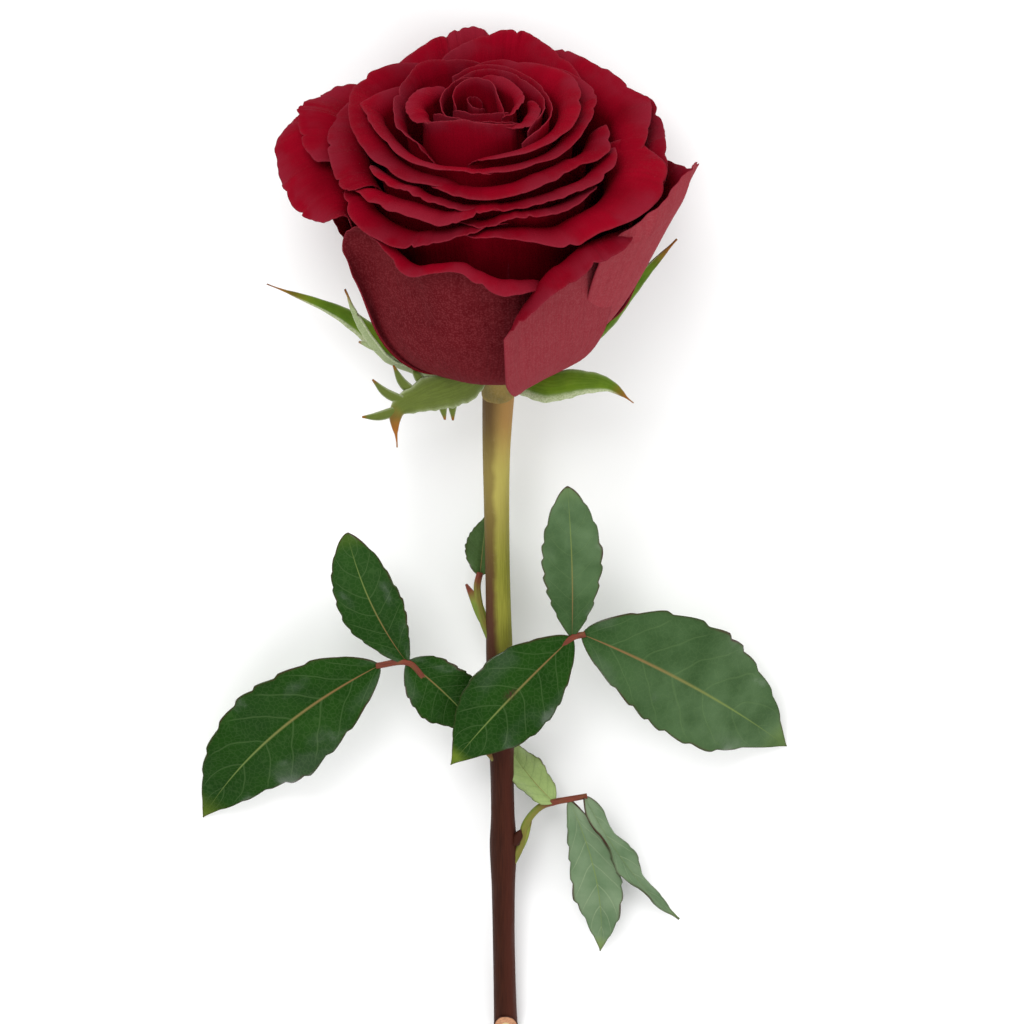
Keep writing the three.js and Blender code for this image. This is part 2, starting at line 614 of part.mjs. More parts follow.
// A point of a petal's middle surface: u from -1 to 1 along its rim, and w from 0 at the root over 1
// at the neck to 2 at the rim. A Bezier curve rises from the root round the belly to the neck, and the
// lip's path carries it on to the rim. The rim's own corners fade out below the lip. From root to rim
// the petal widens about the bloom's axis.
function petalPoint(petal, index, u, w) {
  const rim = rimAt(petal, u);
  const smooth = smoothRimAt(petal, u);
  const middle = (petal.rim[0][0] + petal.rim[petal.rim.length - 1][0]) / 2;
  const lean = radians(petal.lean);
  const turn = radians(acrossTriple(petal.roll, u)) - lean;
  const lip = acrossTriple(petal.lip, u);
  const path = lipPath(lean, turn, lip);
  const end = path[path.length - 1];
  const neck = new THREE.Vector2(smooth.y - end.x, smooth.z - end.y);
  const rootZ = THREE.MathUtils.lerp(...ROOT_Z, (1 - index / (PETALS.length - 1)) ** ROOT_CROWDING);
  const root = new THREE.Vector2(Math.max(5.4 - 0.12 * rootZ, 1), rootZ);
  const handle = 0.5 * (neck.y - rootZ);
  const belly = new THREE.Vector2(petal.body, rootZ + 1);
  const shoulder = new THREE.Vector2(neck.x - handle * Math.sin(lean), neck.y - handle * Math.cos(lean));
  const body = new THREE.CubicBezierCurve(root, belly, shoulder, neck);
  const polygon = root.distanceTo(belly) + belly.distanceTo(shoulder) + shoulder.distanceTo(neck);
  const bodyLength = (polygon + root.distanceTo(neck)) / 2;
  const corner = 1 - PETAL_CORNER * Math.abs(u) ** 6;
  const reach = (Math.min(w, 1) * bodyLength + Math.max(w - 1, 0) * lip) * corner;
  const pastNeck = (reach - bodyLength) / lip;
  const place = Math.max(0, pastNeck) * (path.length - 1);
  const step = Math.min(Math.floor(place), path.length - 2);
  const profile = pastNeck <= 0
    ? body.getPoint(reach / bodyLength)
    : path[step].clone().lerp(path[step + 1], place - step).add(neck);
  const share = reach / (bodyLength + lip);
  const edging = Math.max(0, (share - 0.55) / 0.45) ** 2;
  const facing = lean + turn * (1 - (1 - Math.max(0, pastNeck)) ** 2);
  const phase = 2.4 * index;
  const ripple = Math.sin(2.3 * Math.PI * u + phase) + 0.5 * Math.sin(4.1 * Math.PI * u + 1.7 * phase);
  const swell = petal.wave * edging * ripple;
  const width = PETAL_CLAW + (1 - PETAL_CLAW) * THREE.MathUtils.smoothstep(share, 0, 0.62);
  return onBloom(
    middle + (rim.x - middle) * width,
    profile.x + (rim.y - smooth.y) * edging + swell * Math.cos(facing),
    profile.y + (rim.z - smooth.z) * edging - swell * Math.sin(facing),
  );
}

const HEART = 9; // how many of the first petals are small
const HEART_ROWS = [0, 0.5, 0.85, 1.35, 2];
const PETAL_ROWS = [0, 0.4, 0.75, 1, 1.35, 1.7, 2];

function petalSolid(petal, index) {
  const columns = index < HEART ? 6 : 7;
  const across = Array.from({ length: columns + 1 }, (_, i) => (2 * i) / columns - 1);
  const along = index < HEART ? HEART_ROWS : PETAL_ROWS;
  const rows = along.map((w) => across.map((u) => settle(petalPoint(petal, index, u, w))));
  return blade(rows, BLADE);
}

function lathe(profile, sides) {
  const outline = profile.map(([r, z]) => new THREE.Vector2(r, z));
  const geometry = new THREE.LatheGeometry(outline, sides);
  geometry.rotateX(Math.PI / 2).applyMatrix4(toBloomFrame);
  const solid = solidOf(geometry);
  if (solid.volume() < 0) throw new Error("a turned piece is inside out");
  return solid;
}

function bloom() {
  const fused = Manifold.union([lathe(CORE, 10), ...PETALS.map(petalSolid)]);
  return largestBody(fused.trimByPlane([0, 0, 1], 0)).simplify(0.02);
}

// ---- The calyx ----

// A flat strip along a curve: half width by its place on the curve, its face turned one way.
function strip(curve, halfAt, face, steps, thickness) {
  const rows = [];
  for (let j = 0; j <= steps; j++) {
    const t = j / steps;
    const along = curve.getTangent(t);
    const sideways = along.clone().cross(face).normalize();
    const centre = curve.getPoint(t);
    rows.push([-1, 0, 1].map((u) => {
      const side = centre.clone().addScaledVector(sideways, u * halfAt(t));
      return u === 0 ? side.addScaledVector(sideways.clone().cross(along), 0.25 * halfAt(t)) : side;
    }));
  }
  return blade(rows, thickness);
}

function sepalSolids(sepal) {
  const curve = new THREE.CatmullRomCurve3(sepal.line.map((p) => onBloom(...p)));
  const face = vector(sepal.face).normalize();
  const half = (t) => sepal.half * Math.sin(Math.PI * Math.min(1, 0.16 + 0.9 * t) ** 0.85) + 0.35;
  const pieces = [strip(curve, half, face, 12, BLADE)];
  for (const [t, side, length, lean] of sepal.lobes) {
    const along = curve.getTangent(t);
    const out = along.clone().cross(face).normalize().multiplyScalar(side);
    const root = curve.getPoint(t);
    const tip = root.clone().addScaledVector(out, half(t) + length * 0.8);
    tip.addScaledVector(along, length * lean);
    const lobe = new THREE.CatmullRomCurve3([root, root.clone().lerp(tip, 0.5), tip]);
    pieces.push(strip(lobe, (s) => 0.35 + 0.8 * (1 - s), face, 3, BLADE * 0.85));
  }
  return pieces;
}

function calyx() {
  const sepals = Manifold.union(SEPALS.flatMap(sepalSolids)).subtract(lathe(BELLY, 40));
  const fused = lathe(HIP, HIP_SIDES).add(sepals);
  return largestBody(fused.trimByPlane([0, 0, 1], 0.2)).simplify(0.04);
}

// ---- The stem ----

// The stem and its bud, everywhere larger than they are by the given amount.
function stemSolid(extra) {
  const outwards = new THREE.Vector3(0.35, 1, 0.2).normalize();
  const start = vector(BUD.at).addScaledVector(outwards, -2 * extra);
  const tip = start.clone().addScaledVector(outwards, BUD.length + 4 * extra);
  const path = [start, start.clone().lerp(tip, 0.5), tip].map((p) => p.toArray());
  const bud = tube(path, [BUD.r, BUD.r * 0.9, 0.15].map((r) => r + extra), 6, 3);
  return tube(STEM.map((s) => s.at), STEM.map((s) => s.r + extra), STEM_SIDES, STEM_STEPS).add(bud);
}

// The oblique cut's face looks up and back along the stem.
function cutEnd(solid) {
  const normal = new THREE.Vector3(0, Math.cos(radians(CUT_ANGLE)), -Math.sin(radians(CUT_ANGLE)));
  return solid.trimByPlane(normal.toArray(), normal.dot(CUT_AT));
}

function stem() {
  const hipClearance = lathe(HIP.map(([r, z]) => [r && r + GAP, z - GAP]), HIP_SIDES);
  return largestBody(cutEnd(stemSolid(0)).subtract(hipClearance).trimByPlane([0, 0, 1], 0));
}

// ---- The leaves ----

// A leaflet's middle surface. Its half width rises and falls along the midrib, with a row of points
// at each tooth and each notch, and its sides fold up a little from the midrib.
function leafletSolid(leaflet) {
  const base = vector(leaflet.base);
  const tip = vector(leaflet.tip);
  const face = vector(leaflet.face).normalize();
  const sag = base.clone().lerp(tip, 0.5).add(new THREE.Vector3(0, 0, 2 * leaflet.arch));
  sag.addScaledVector(tip.clone().sub(base).cross(face).normalize(), 2 * leaflet.bend);
  const midrib = new THREE.QuadraticBezierCurve3(base, sag, tip);
  const rows = [];
  const steps = 2 * TEETH;
  for (let j = 0; j <= steps; j++) {
    const v = j / steps;
    const along = midrib.getTangent(v);
    const sideways = along.clone().cross(face).normalize();
    const normal = sideways.clone().cross(along);
    const tooth = j % 2 ? 1 + TOOTH : 1 - TOOTH / 2;
    const swell = 1.05 * Math.sin(Math.PI * v ** 0.86) ** (0.7 + 0.5 * v);
    const half = Math.max(0.35, leaflet.half * swell * tooth);
    rows.push([-1, -0.5, 0, 0.5, 1].map((u) => {
      const rise = leaflet.fold * Math.abs(u) + 0.05 * Math.sin(9 * v + 2 * u) * u * u;
      return midrib.getPoint(v).addScaledVector(sideways, u * half).addScaledVector(normal, rise * half);
    }));
  }
  return blade(rows, BLADE);
}

// The pair of pointed wings where the leafstalk meets the stem.
function stipuleSolids(leaf) {
  const [first, second] = leaf.petiole.slice(1, 3).map(vector);
  const along = second.clone().sub(first).normalize();
  const out = vector(leaf.stipule).normalize();
  const tip = first.clone().addScaledVector(along, 5).addScaledVector(out, 4.2);
  const middle = first.clone().addScaledVector(along, 3).addScaledVector(out, 1.2);
  const curve = new THREE.CatmullRomCurve3([first, middle, tip]);
  const half = (t) => 0.3 + 0.9 * Math.sin(Math.PI * (0.2 + 0.75 * t));
  return strip(curve, half, new THREE.Vector3(0, 0, 1), 5, BLADE);
}

function leaf(plan, clearance) {
  const radii = plan.petiole.map((_, k) => PETIOLE_R * (k ? 1 - 0.06 * k : 1.5));
  const stalk = tube(plan.petiole, radii, 6, 2 * plan.petiole.length + 2);
  const fused = Manifold.union([stalk, stipuleSolids(plan), ...plan.leaflets.map(leafletSolid)]);
  return largestBody(fused.subtract(clearance).trimByPlane([0, 0, 1], 0)).simplify(0.04);
}

// ---- The rose ----

const rose = new THREE.Group();
rose.name = "cut_rose";
rose.position.set(-CENTRE[0], -CENTRE[1], 0);

function place(name, solid, finish) {
  const mesh = new THREE.Mesh(geometryOf(solid), new THREE.MeshStandardMaterial(finish));
  mesh.name = name;
  rose.add(mesh);
}

const stemClearance = stemSolid(GAP);
place("stem", stem(), STEM_BROWN);
place("calyx", calyx(), CALYX_GREEN);
place("bloom", bloom(), RED);
for (const plan of LEAVES) place(plan.name, leaf(plan, stemClearance), LEAF_GREEN);

export default rose;
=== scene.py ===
"""A cut red rose, lying on a pale floor and seen from above.

The rose is built in millimetres in the flower's own drawing frame, where +Y runs along the stem to
the bloom, +X is to the right and +Z is up, and is then moved to the frame of the CAD part.
"""
import math
from collections import namedtuple

import bpy
import numpy as np
from bpy.props import FloatProperty, FloatVectorProperty, IntProperty, PointerProperty
from mathutils import Matrix, Vector


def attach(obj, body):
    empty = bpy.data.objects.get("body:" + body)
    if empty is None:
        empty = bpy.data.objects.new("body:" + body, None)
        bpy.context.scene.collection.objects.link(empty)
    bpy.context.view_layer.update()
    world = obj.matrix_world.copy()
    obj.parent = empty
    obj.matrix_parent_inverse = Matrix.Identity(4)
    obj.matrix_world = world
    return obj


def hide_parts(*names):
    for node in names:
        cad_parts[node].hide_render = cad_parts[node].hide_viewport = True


bl_info = {
    "name": "Cut rose",
    "version": (1, 0, 0),
    "blender": (4, 5, 0),
    "location": "3D View > Sidebar > Rose",
    "description": "A cut red rose with its bloom, calyx, stem and compound leaves",
    "category": "Add Mesh",
}

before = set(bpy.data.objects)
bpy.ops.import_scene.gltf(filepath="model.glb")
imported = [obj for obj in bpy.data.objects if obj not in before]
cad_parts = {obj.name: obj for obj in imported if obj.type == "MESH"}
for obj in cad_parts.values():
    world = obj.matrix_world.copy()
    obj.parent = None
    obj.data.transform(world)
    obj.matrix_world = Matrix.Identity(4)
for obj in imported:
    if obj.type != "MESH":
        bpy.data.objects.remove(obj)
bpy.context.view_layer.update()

# ---- The flower's measures, in millimetres ----

CENTRE = np.array([-4.02, -11.92, 0.0])  # the drawing frame's place of the part's origin
MM = 0.001

Petal = namedtuple("Petal", "name body roll lip lean wave rim")
Sepal = namedtuple("Sepal", "name half face lobes line")
Leaf = namedtuple("Leaf", "name stipule petiole leaflets")
Leaflet = namedtuple("Leaflet", "base tip half arch face fold bend")

BLOOM_BASE = np.array([-3.4, 37.3, 21.0])
BLOOM_AXIS = np.array([-0.055, 0.956, 0.292])
CUT_ANGLE = 52  # degrees between the stem's axis and the cut's normal
PETIOLE_RADIUS = 0.95
BUD_AT = np.array([0.9, -78.2, 9.2])
BUD_ALONG = np.array([0.35, 1.0, 0.2])
BUD_LENGTH = 3.2
BUD_RADIUS = 1.05
ROOT_Z = (0.8, 29.0)  # heights where the outermost and the innermost petal leave the axis
ROOT_CROWDING = 1.6
PETAL_CORNER = 0.04
PETAL_NICK = 0.016  # depth of the rim's nicks, by the petal's length
HEART_END = 9  # how many petals make the heart
GUARD_START = 29  # the first of the outermost petals
FLOOR_SOFT = 1.0
FLOOR_SKIN = 0.05
SIDE_VEINS = 7
VEIN_SLANT = 0.2  # how far a side vein climbs, by the leaflet's length
VEIN_BEND = 1.25
STIPULE_THICKNESS = 0.45
UP_HINT = np.array([0.31, 0.05, 1.0])  # no stem or stalk runs along it
CUT_AT = np.array([-1.3, -125.85, 2.8])  # where the cut face crosses the axis

# The stem's axis from the cut end to the calyx, with its radius.
STEM = [
    (-1.2, -131.2, 2.8, 2.85),
    (-1.5, -120, 3.55, 2.55),
    (-1.8, -104, 5.2, 2.45),
    (-1.9, -90, 6.65, 2.6),
    (-1.9, -80, 7.7, 3),
    (-2, -72, 8.5, 2.6),
    (-2.2, -60, 9.75, 2.6),
    (-2.4, -52, 10.6, 2.95),
    (-2.5, -42, 11.6, 3),
    (-2.7, -33, 12.55, 2.9),
    (-2.9, -24, 13.4, 2.75),
    (-3.1, -12, 14.6, 2.65),
    (-3.3, 4, 15.8, 2.75),
    (-3.3, 14, 16.3, 2.95),
    (-3.1, 21.3, 16.8, 3.2),
    (-2.83, 27.7, 18.05, 3.45),
]

# Every petal from the heart outwards. rim lists its edge as azimuth in degrees (0 right, 90 towards
# the floor, 180 left, 270 up), radius and height on the bloom's axis; body is the radius its cupped
# part swells to; roll is the edge's turn outwards and lip the length that turns, each at the edge's
# start, middle and end; lean is the turn below the lip and wave the height of the edge's ripples.
PETALS = [
    Petal("bud_inner", 2.4, (0, 0, 0), (2, 2, 2), -3, 0.1,
          [(70, 2.0, 61.4), (170, 2.4, 62), (280, 1.9, 61), (330, 1.6, 60.4)]),
    Petal("bud_fold", 4, (30, 5, 10), (3, 2, 2), -4, 0.1,
          [(-48, 8.6, 62), (-34, 5.4, 63.3), (5, 3.4, 64.5), (100, 3.8, 65.1), (165, 4.6, 64.6),
           (214, 5.8, 63.6)]),
    Petal("bud_left", 6.5, (10, 10, 25), (2, 2.5, 3), -4, 0.15,
          [(80, 5.2, 64.3), (115, 5.4, 64.6), (158, 6.4, 64.3), (206, 8.6, 63.2), (228, 9, 62.2),
           (246, 8.4, 61.4)]),
    Petal("heart_fold", 6.1, (50, 60, 15), (3, 3.2, 2.5), -3, 0.3,
          [(-54, 9.4, 62.6), (-32, 9.8, 62.8), (-8, 9.6, 62.8), (20, 8.2, 63.4), (60, 7.4, 63.9),
           (95, 7.2, 64)]),
    Petal("heart_corner", 9.5, (80, 100, 80), (3, 3.8, 3), -2, 0.2,
          [(-68, 11.8, 61.4), (-50, 13.2, 60.7), (-32, 13.7, 60.6), (-16, 13.2, 61.1), (-4, 12, 62)]),
    Petal("heart_front", 12, (20, 6, 15), (3, 3, 3), -5, 0.25,
          [(190, 12.2, 60), (201, 12.8, 60.7), (212, 13, 61.4), (220, 12.6, 62.2), (232, 12, 63),
           (246, 11.6, 63.5), (256, 11.2, 63.7), (270, 11.2, 63.3), (285, 11.6, 62.8), (298, 11.6, 62.2),
           (309, 11.6, 61.3), (318, 11.2, 60.4), (330, 10.8, 59.4), (342, 10.2, 58.4)]),
    Petal("heart_left", 8.2, (50, 100, 95), (3.5, 5, 4.5), -2, 0.3,
          [(142, 10, 63.4), (168, 13.6, 62.5), (183, 15.1, 61.9), (198, 15, 61.3), (213, 14.4, 61.2)]),
    Petal("arc_inner", 8.9, (10, 25, 10), (2.5, 3, 2.5), 1, 0.2,
          [(-44, 14, 61.2), (-25, 14.2, 61.6), (-7, 13.4, 62.1), (16, 11.4, 63), (42, 9.8, 63.8),
           (82, 9, 64.2), (125, 9.2, 63.8)]),
    Petal("arc_outer", 10.1, (10, 25, 10), (2.5, 3, 2.5), 2, 0.2,
          [(-54, 14.8, 60), (-30, 15.6, 60.5), (-7, 15.1, 61.2), (13, 13.4, 62.2), (44, 11.8, 63.4),
           (80, 11, 64.2), (120, 11.2, 64)]),
    Petal("ring_right", 11.9, (50, 90, 15), (2.5, 6, 3.5), 3, 0.25,
          [(-101, 14.6, 55.8), (-93, 16.2, 57.2), (-84, 18, 58), (-50, 18.8, 58.4), (-18, 20.2, 58.9),
           (3, 21, 59.2), (19, 21.8, 59.4), (31, 21.8, 60.2), (50, 18, 62.3), (73, 14.8, 63.7),
           (100, 13.4, 64)]),
    Petal("ring_left", 11.6, (20, 45, 45), (4, 4.5, 4.5), 3, 0.4,
          [(88, 15.6, 63.8), (128, 18.2, 63.9), (144, 17.4, 63), (163, 17.4, 62.3), (181, 17.8, 61.8),
           (197, 17.8, 61.2), (216, 17.6, 60.4), (228, 17, 57), (238, 16, 54)]),
    Petal("ring_front", 13.6, (55, 80, 70), (6, 5.2, 4.4), 5, 0.3,
          [(148, 20.6, 61.6), (166, 25.2, 59.8), (172, 24.6, 59.5), (187, 22.6, 59), (208, 21.4, 58.6),
           (236, 21.2, 57.9), (260, 21.4, 57.6), (272, 21.8, 57.2), (281, 19.8, 56.2), (289, 18, 54.8)]),
    Petal("round_right", 14.2, (75, 90, 45), (4.5, 6, 6), 5, 0.3,
          [(-103, 17.6, 54.8), (-95, 19.4, 56.2), (-86, 21.4, 57), (-68, 21, 56.6), (-40, 21, 56.3),
           (-20, 21.6, 56.2), (-6, 22.4, 56.3), (8, 24, 56.7), (16, 25, 56.9), (24, 25.8, 57.4),
           (39, 24, 59.4), (58, 21.5, 61.2)]),
    Petal("round_left", 16, (45, 100, 80), (6, 7.4, 6), 6, 0.4,
          [(119, 24.6, 61), (137, 28.2, 60.2), (146, 30, 59), (158, 29.2, 57.9), (172, 27.4, 57.2),
           (185, 26.2, 56.8), (200, 25, 56.2), (222, 24.2, 55.2), (246, 24, 54.8), (256, 22.8, 53.8),
           (264, 21.4, 52)]),
    Petal("back_crown", 16.6, (50, 55, 30), (7, 9, 6), 7, 0.4,
          [(28, 25.4, 57.6), (38, 25.8, 58.6), (58, 27.4, 60.4), (70, 28.9, 61.9), (75, 28.8, 62.3),
           (86, 25.8, 62.5), (99, 23.4, 62.4), (113, 22, 62.1)]),
    Petal("mid_front", 18, (85, 100, 80), (6.5, 8, 8), 7, 0.4,
          [(233, 21.6, 52.8), (240, 23, 54.2), (249, 24.6, 55.1), (258, 25.2, 54.5), (267, 25.6, 54.2),
           (287, 26, 53.8), (300, 25.4, 53.7), (315, 24.6, 53.6), (325, 24.2, 53.8), (333, 26, 53.3),
           (343, 27.6, 53.2), (351, 27.8, 53.4), (362, 28, 54.2)]),
    Petal("mid_left", 18.4, (80, 85, 80), (6, 6.2, 5.5), 8, 0.3,
          [(206, 27.6, 55), (222, 27, 54.6), (234, 26.6, 54.2), (240, 26.8, 53.8), (250, 26.4, 53),
           (262, 26.6, 51.8), (272, 24.8, 50.6), (280, 23, 49.4)]),
    Petal("under_right", 20.4, (85, 90, 85), (6, 7.4, 7), 9, 0.3,
          [(263, 24, 50.2), (271, 25.6, 51.3), (280, 27.4, 51.8), (293, 27.8, 51.9), (306, 28.2, 51.5),
           (318, 29, 51.4), (335, 29.8, 51.8), (350, 30.2, 52.2)]),
    Petal("side_left", 22, (85, 100, 100), (9, 10, 9), 10, 0.3,
          [(150, 31.2, 55.2), (163, 31.8, 54.5), (178, 31.8, 53.4), (190, 31.6, 52.8), (201, 32, 52),
           (209, 32.4, 51.4), (213, 31.8, 51.4)]),
    Petal("front_left", 23, (90, 100, 85), (6, 8.4, 4.5), 10, 0.4,
          [(205, 31.4, 50.8), (214, 31, 51.8), (222, 31, 51.6), (232, 31, 51.3), (244, 30.6, 51.2),
           (254, 30.6, 50.9), (260, 30, 50.8), (266, 28.8, 51.3), (271, 28, 52), (278, 27.2, 51.8),
           (286, 25.2, 50.8)]),
    Petal("under_front", 21.6, (80, 90, 85), (5.4, 7, 6.5), 10, 0.3,
          [(252, 25, 47.6), (260, 26.8, 48.5), (269, 28.6, 49), (277, 28.8, 50), (284, 29.2, 50.5),
           (290, 29.8, 50.3), (300, 30, 50), (312, 30.2, 49.8), (326, 30.6, 49.6)]),
    Petal("back_high", 22.4, (45, 60, 45), (7, 8, 7), 10, 0.5,
          [(66, 30.4, 57), (84, 31, 59.4), (91, 32.8, 60.2), (98, 32.7, 60.4), (104, 31.4, 60.4),
           (114, 29.6, 60), (134, 30.6, 57.6)]),
    Petal("back_right", 23.6, (95, 90, 50), (8, 10, 8), 11, 0.5,
          [(352, 33.6, 49.2), (358, 34, 49.8), (366, 34.8, 50.4), (374, 36.2, 51.4), (381, 37.6, 52.4),
           (386, 36, 53.6), (392, 33.6, 55), (400, 31.8, 56.8), (411, 31.2, 58.2), (417, 31.2, 58.8),
           (424, 29.6, 58.6)]),
    Petal("low_front_left", 24.4, (95, 105, 85), (8, 8.6, 4.5), 12, 0.4,
          [(206, 33.6, 49.8), (213, 33.8, 49.2), (219, 34.2, 47.6), (229, 33.9, 46.2), (241, 33.5, 45.5),
           (246, 33.1, 45.7), (250, 32.2, 46.4), (256, 31.2, 47.4), (262, 30.2, 48.2), (266, 29.8, 48.4),
           (274, 28.8, 48.4), (282, 27.4, 47.4)]),
    Petal("front_right", 23.8, (80, 110, 90), (4, 11, 14), 12, 0.4,
          [(252, 26.6, 46.6), (259, 28.2, 47.6), (267, 29.8, 47.4), (274, 30, 47.6), (281, 30.6, 46.2),
           (289, 31.8, 45.3), (297, 33.6, 44.3), (303, 34.9, 44.1), (309, 35.5, 45.2), (316, 37, 45.9),
           (325, 39.2, 46.3), (334, 40.6, 47.5), (343, 39.8, 48.5), (350, 38.2, 49.2), (357, 35.6, 50),
           (363, 32.4, 50.6)]),
    Petal("far_left", 24.2, (70, 95, 95), (9, 13, 11), 12, 0.5,
          [(134, 33.4, 53), (146, 36.6, 54.4), (157, 39.6, 54.8), (164, 39.6, 54.6), (172, 38.2, 53),
           (184, 36.4, 50)]),
    Petal("side_right", 26.6, (80, 75, 80), (7, 8, 7), 14, 0.4,
          [(340, 38.4, 44), (350, 38.4, 46.4), (360, 38, 48), (373, 38.4, 49), (388, 39.6, 49.6),
           (400, 37.6, 49)]),
    Petal("droop_left", 27.2, (100, 135, 130), (9, 15, 6), 15, 0.6,
          [(148, 39.4, 50.6), (157, 41.8, 51), (165, 43.8, 47.8), (173, 43.6, 45), (182, 41, 42),
           (190, 38.4, 40.4), (197, 36.8, 41.2), (208, 36, 44)]),
    Petal("low_back", 25.6, (75, 80, 75), (6, 6, 6), 14, 0.5,
          [(52, 35.4, 45), (92, 35.4, 46), (132, 35.2, 45)]),
    Petal("guard_back_left", 28.4, (85, 90, 30), (4, 5, 4), 15, 0.4,
          [(114, 36.6, 39), (146, 36.4, 39), (172, 33.6, 37), (190, 30.6, 34)]),
    Petal("guard_back_right", 28.2, (70, 90, 85), (4, 5, 4), 16, 0.4,
          [(-14, 37.8, 35), (20, 38.6, 37.5), (66, 36.8, 38.6)]),
    Petal("guard_back", 29.6, (85, 95, 90), (5, 5.6, 5), 15, 0.4,
          [(42, 38.6, 37.6), (68, 39.2, 38.6), (96, 39.4, 39), (136, 38.6, 37.8)]),
    Petal("guard_left", 30, (20, 105, 110), (2.5, 5, 7.5), 16, 0.5,
          [(212.6, 33.4, 33), (210.3, 33.8, 38), (209.5, 33, 41.5), (213.2, 32.5, 43.4), (220, 32.6, 44.5),
           (229, 33.2, 44.4), (236, 34.2, 43.2), (240, 35.2, 41.6), (246, 36, 40.9), (254, 34.8, 42),
           (262, 34.4, 41.6), (268, 36.6, 39.8), (274, 39.4, 39.2), (280, 39.3, 38.8), (286, 37.4, 37.2),
           (291, 35.2, 34.6)]),
    Petal("guard_flare", 26, (15, 12, 60), (5, 9, 7), 28, 0.5,
          [(313, 34.4, 40), (322, 37.6, 43.6), (330, 41.2, 47.4), (337, 43.6, 51.4), (343, 45.3, 51.6),
           (348.8, 45.5, 50), (353, 43, 47), (362, 40, 44), (376, 39, 41)]),
    Petal("guard_right", 31.6, (50, 130, 100), (3, 8, 7), 12, 0.5,
          [(275, 38.4, 28), (278, 39.8, 31.4), (281, 40.4, 33.6), (287, 40.2, 36.4), (293, 39.6, 38.2),
           (299, 39, 39), (306, 38.4, 40.2), (312, 38.4, 40.2), (320, 38.8, 40.2), (328, 38.4, 41)]),
]

# Two more small petals close the heart's front; each has its place among the others.
HEART_FILLERS = [
    (1.5, Petal("bud_front", 4.4, (12, 4, 8), (2, 2, 2), -4, 0.1,
                [(205, 6.2, 62.4), (232, 5, 61.7), (262, 4.5, 61.3), (292, 5.2, 61.4), (316, 7.2, 61.8),
                (328, 8.4, 61.4)])),
    (3.5, Petal("bud_cover", 8.4, (10, 6, 12), (2.5, 2.5, 2.5), -4, 0.2,
                [(200, 10, 62.6), (222, 9.4, 62.4), (250, 8.6, 62.3), (280, 8.8, 61.8), (305, 9.8, 61.2),
                (325, 10.6, 60.6)])),
]

# The sepals: half width, the way the face points, lobes as place, side, length and turn, and the
# middle line as azimuth, radius and height.
SEPALS = [
    Sepal("left_long", 2.7, (0, 0.35, 1),
          [(0.45, 1, 4, 0.6)],
          [(150, 4.4, -1.6), (172, 12, -1.6), (178, 21.2, 1.5), (171, 33, 8.5), (169, 48.7, 14)]),
    Sepal("left_near", 2.2, (-0.5, -0.3, 0.85),
          [(0.5, -1, 3, 0.8)],
          [(178, 4.4, -1.6), (190, 14, -1.4), (198, 22.2, 4.4), (203, 27, 12), (202, 30, 18.6),
          (199, 31.6, 24.6)]),
    Sepal("front_left", 4.4, (-0.1, -0.2, 1),
          [(0.52, 1, 6, 0.2), (0.62, 1, 7, 0.4), (0.71, 1, 7, 0.7), (0.8, 1, 5, 1), (0.3, -1, 4, 0.5),
          (0.42, -1, 3, 0.6)],
          [(222, 4.6, -1.6), (228, 9.5, -1.8), (221, 14, -2), (212, 18.5, -3.4), (210, 24.2, -5.2),
          (214, 26, -13)]),
    Sepal("front_right", 3.3, (0.1, 0.2, 1),
          [],
          [(322, 4.6, -1.6), (308, 10, -1.4), (314, 15.6, -1.3), (327, 20.4, -1), (337, 25.4, -2.8),
          (342, 30, -8)]),
    Sepal("right_back", 2.1, (0.5, 0, 0.85),
          [(0.5, -1, 4, 0.5), (0.3, -1, 4.5, 0.4)],
          [(25, 4.4, -1.6), (0, 14, -0.8), (-3, 22.4, 6.5), (5, 31.5, 15.5), (11, 40, 21.5)]),
]

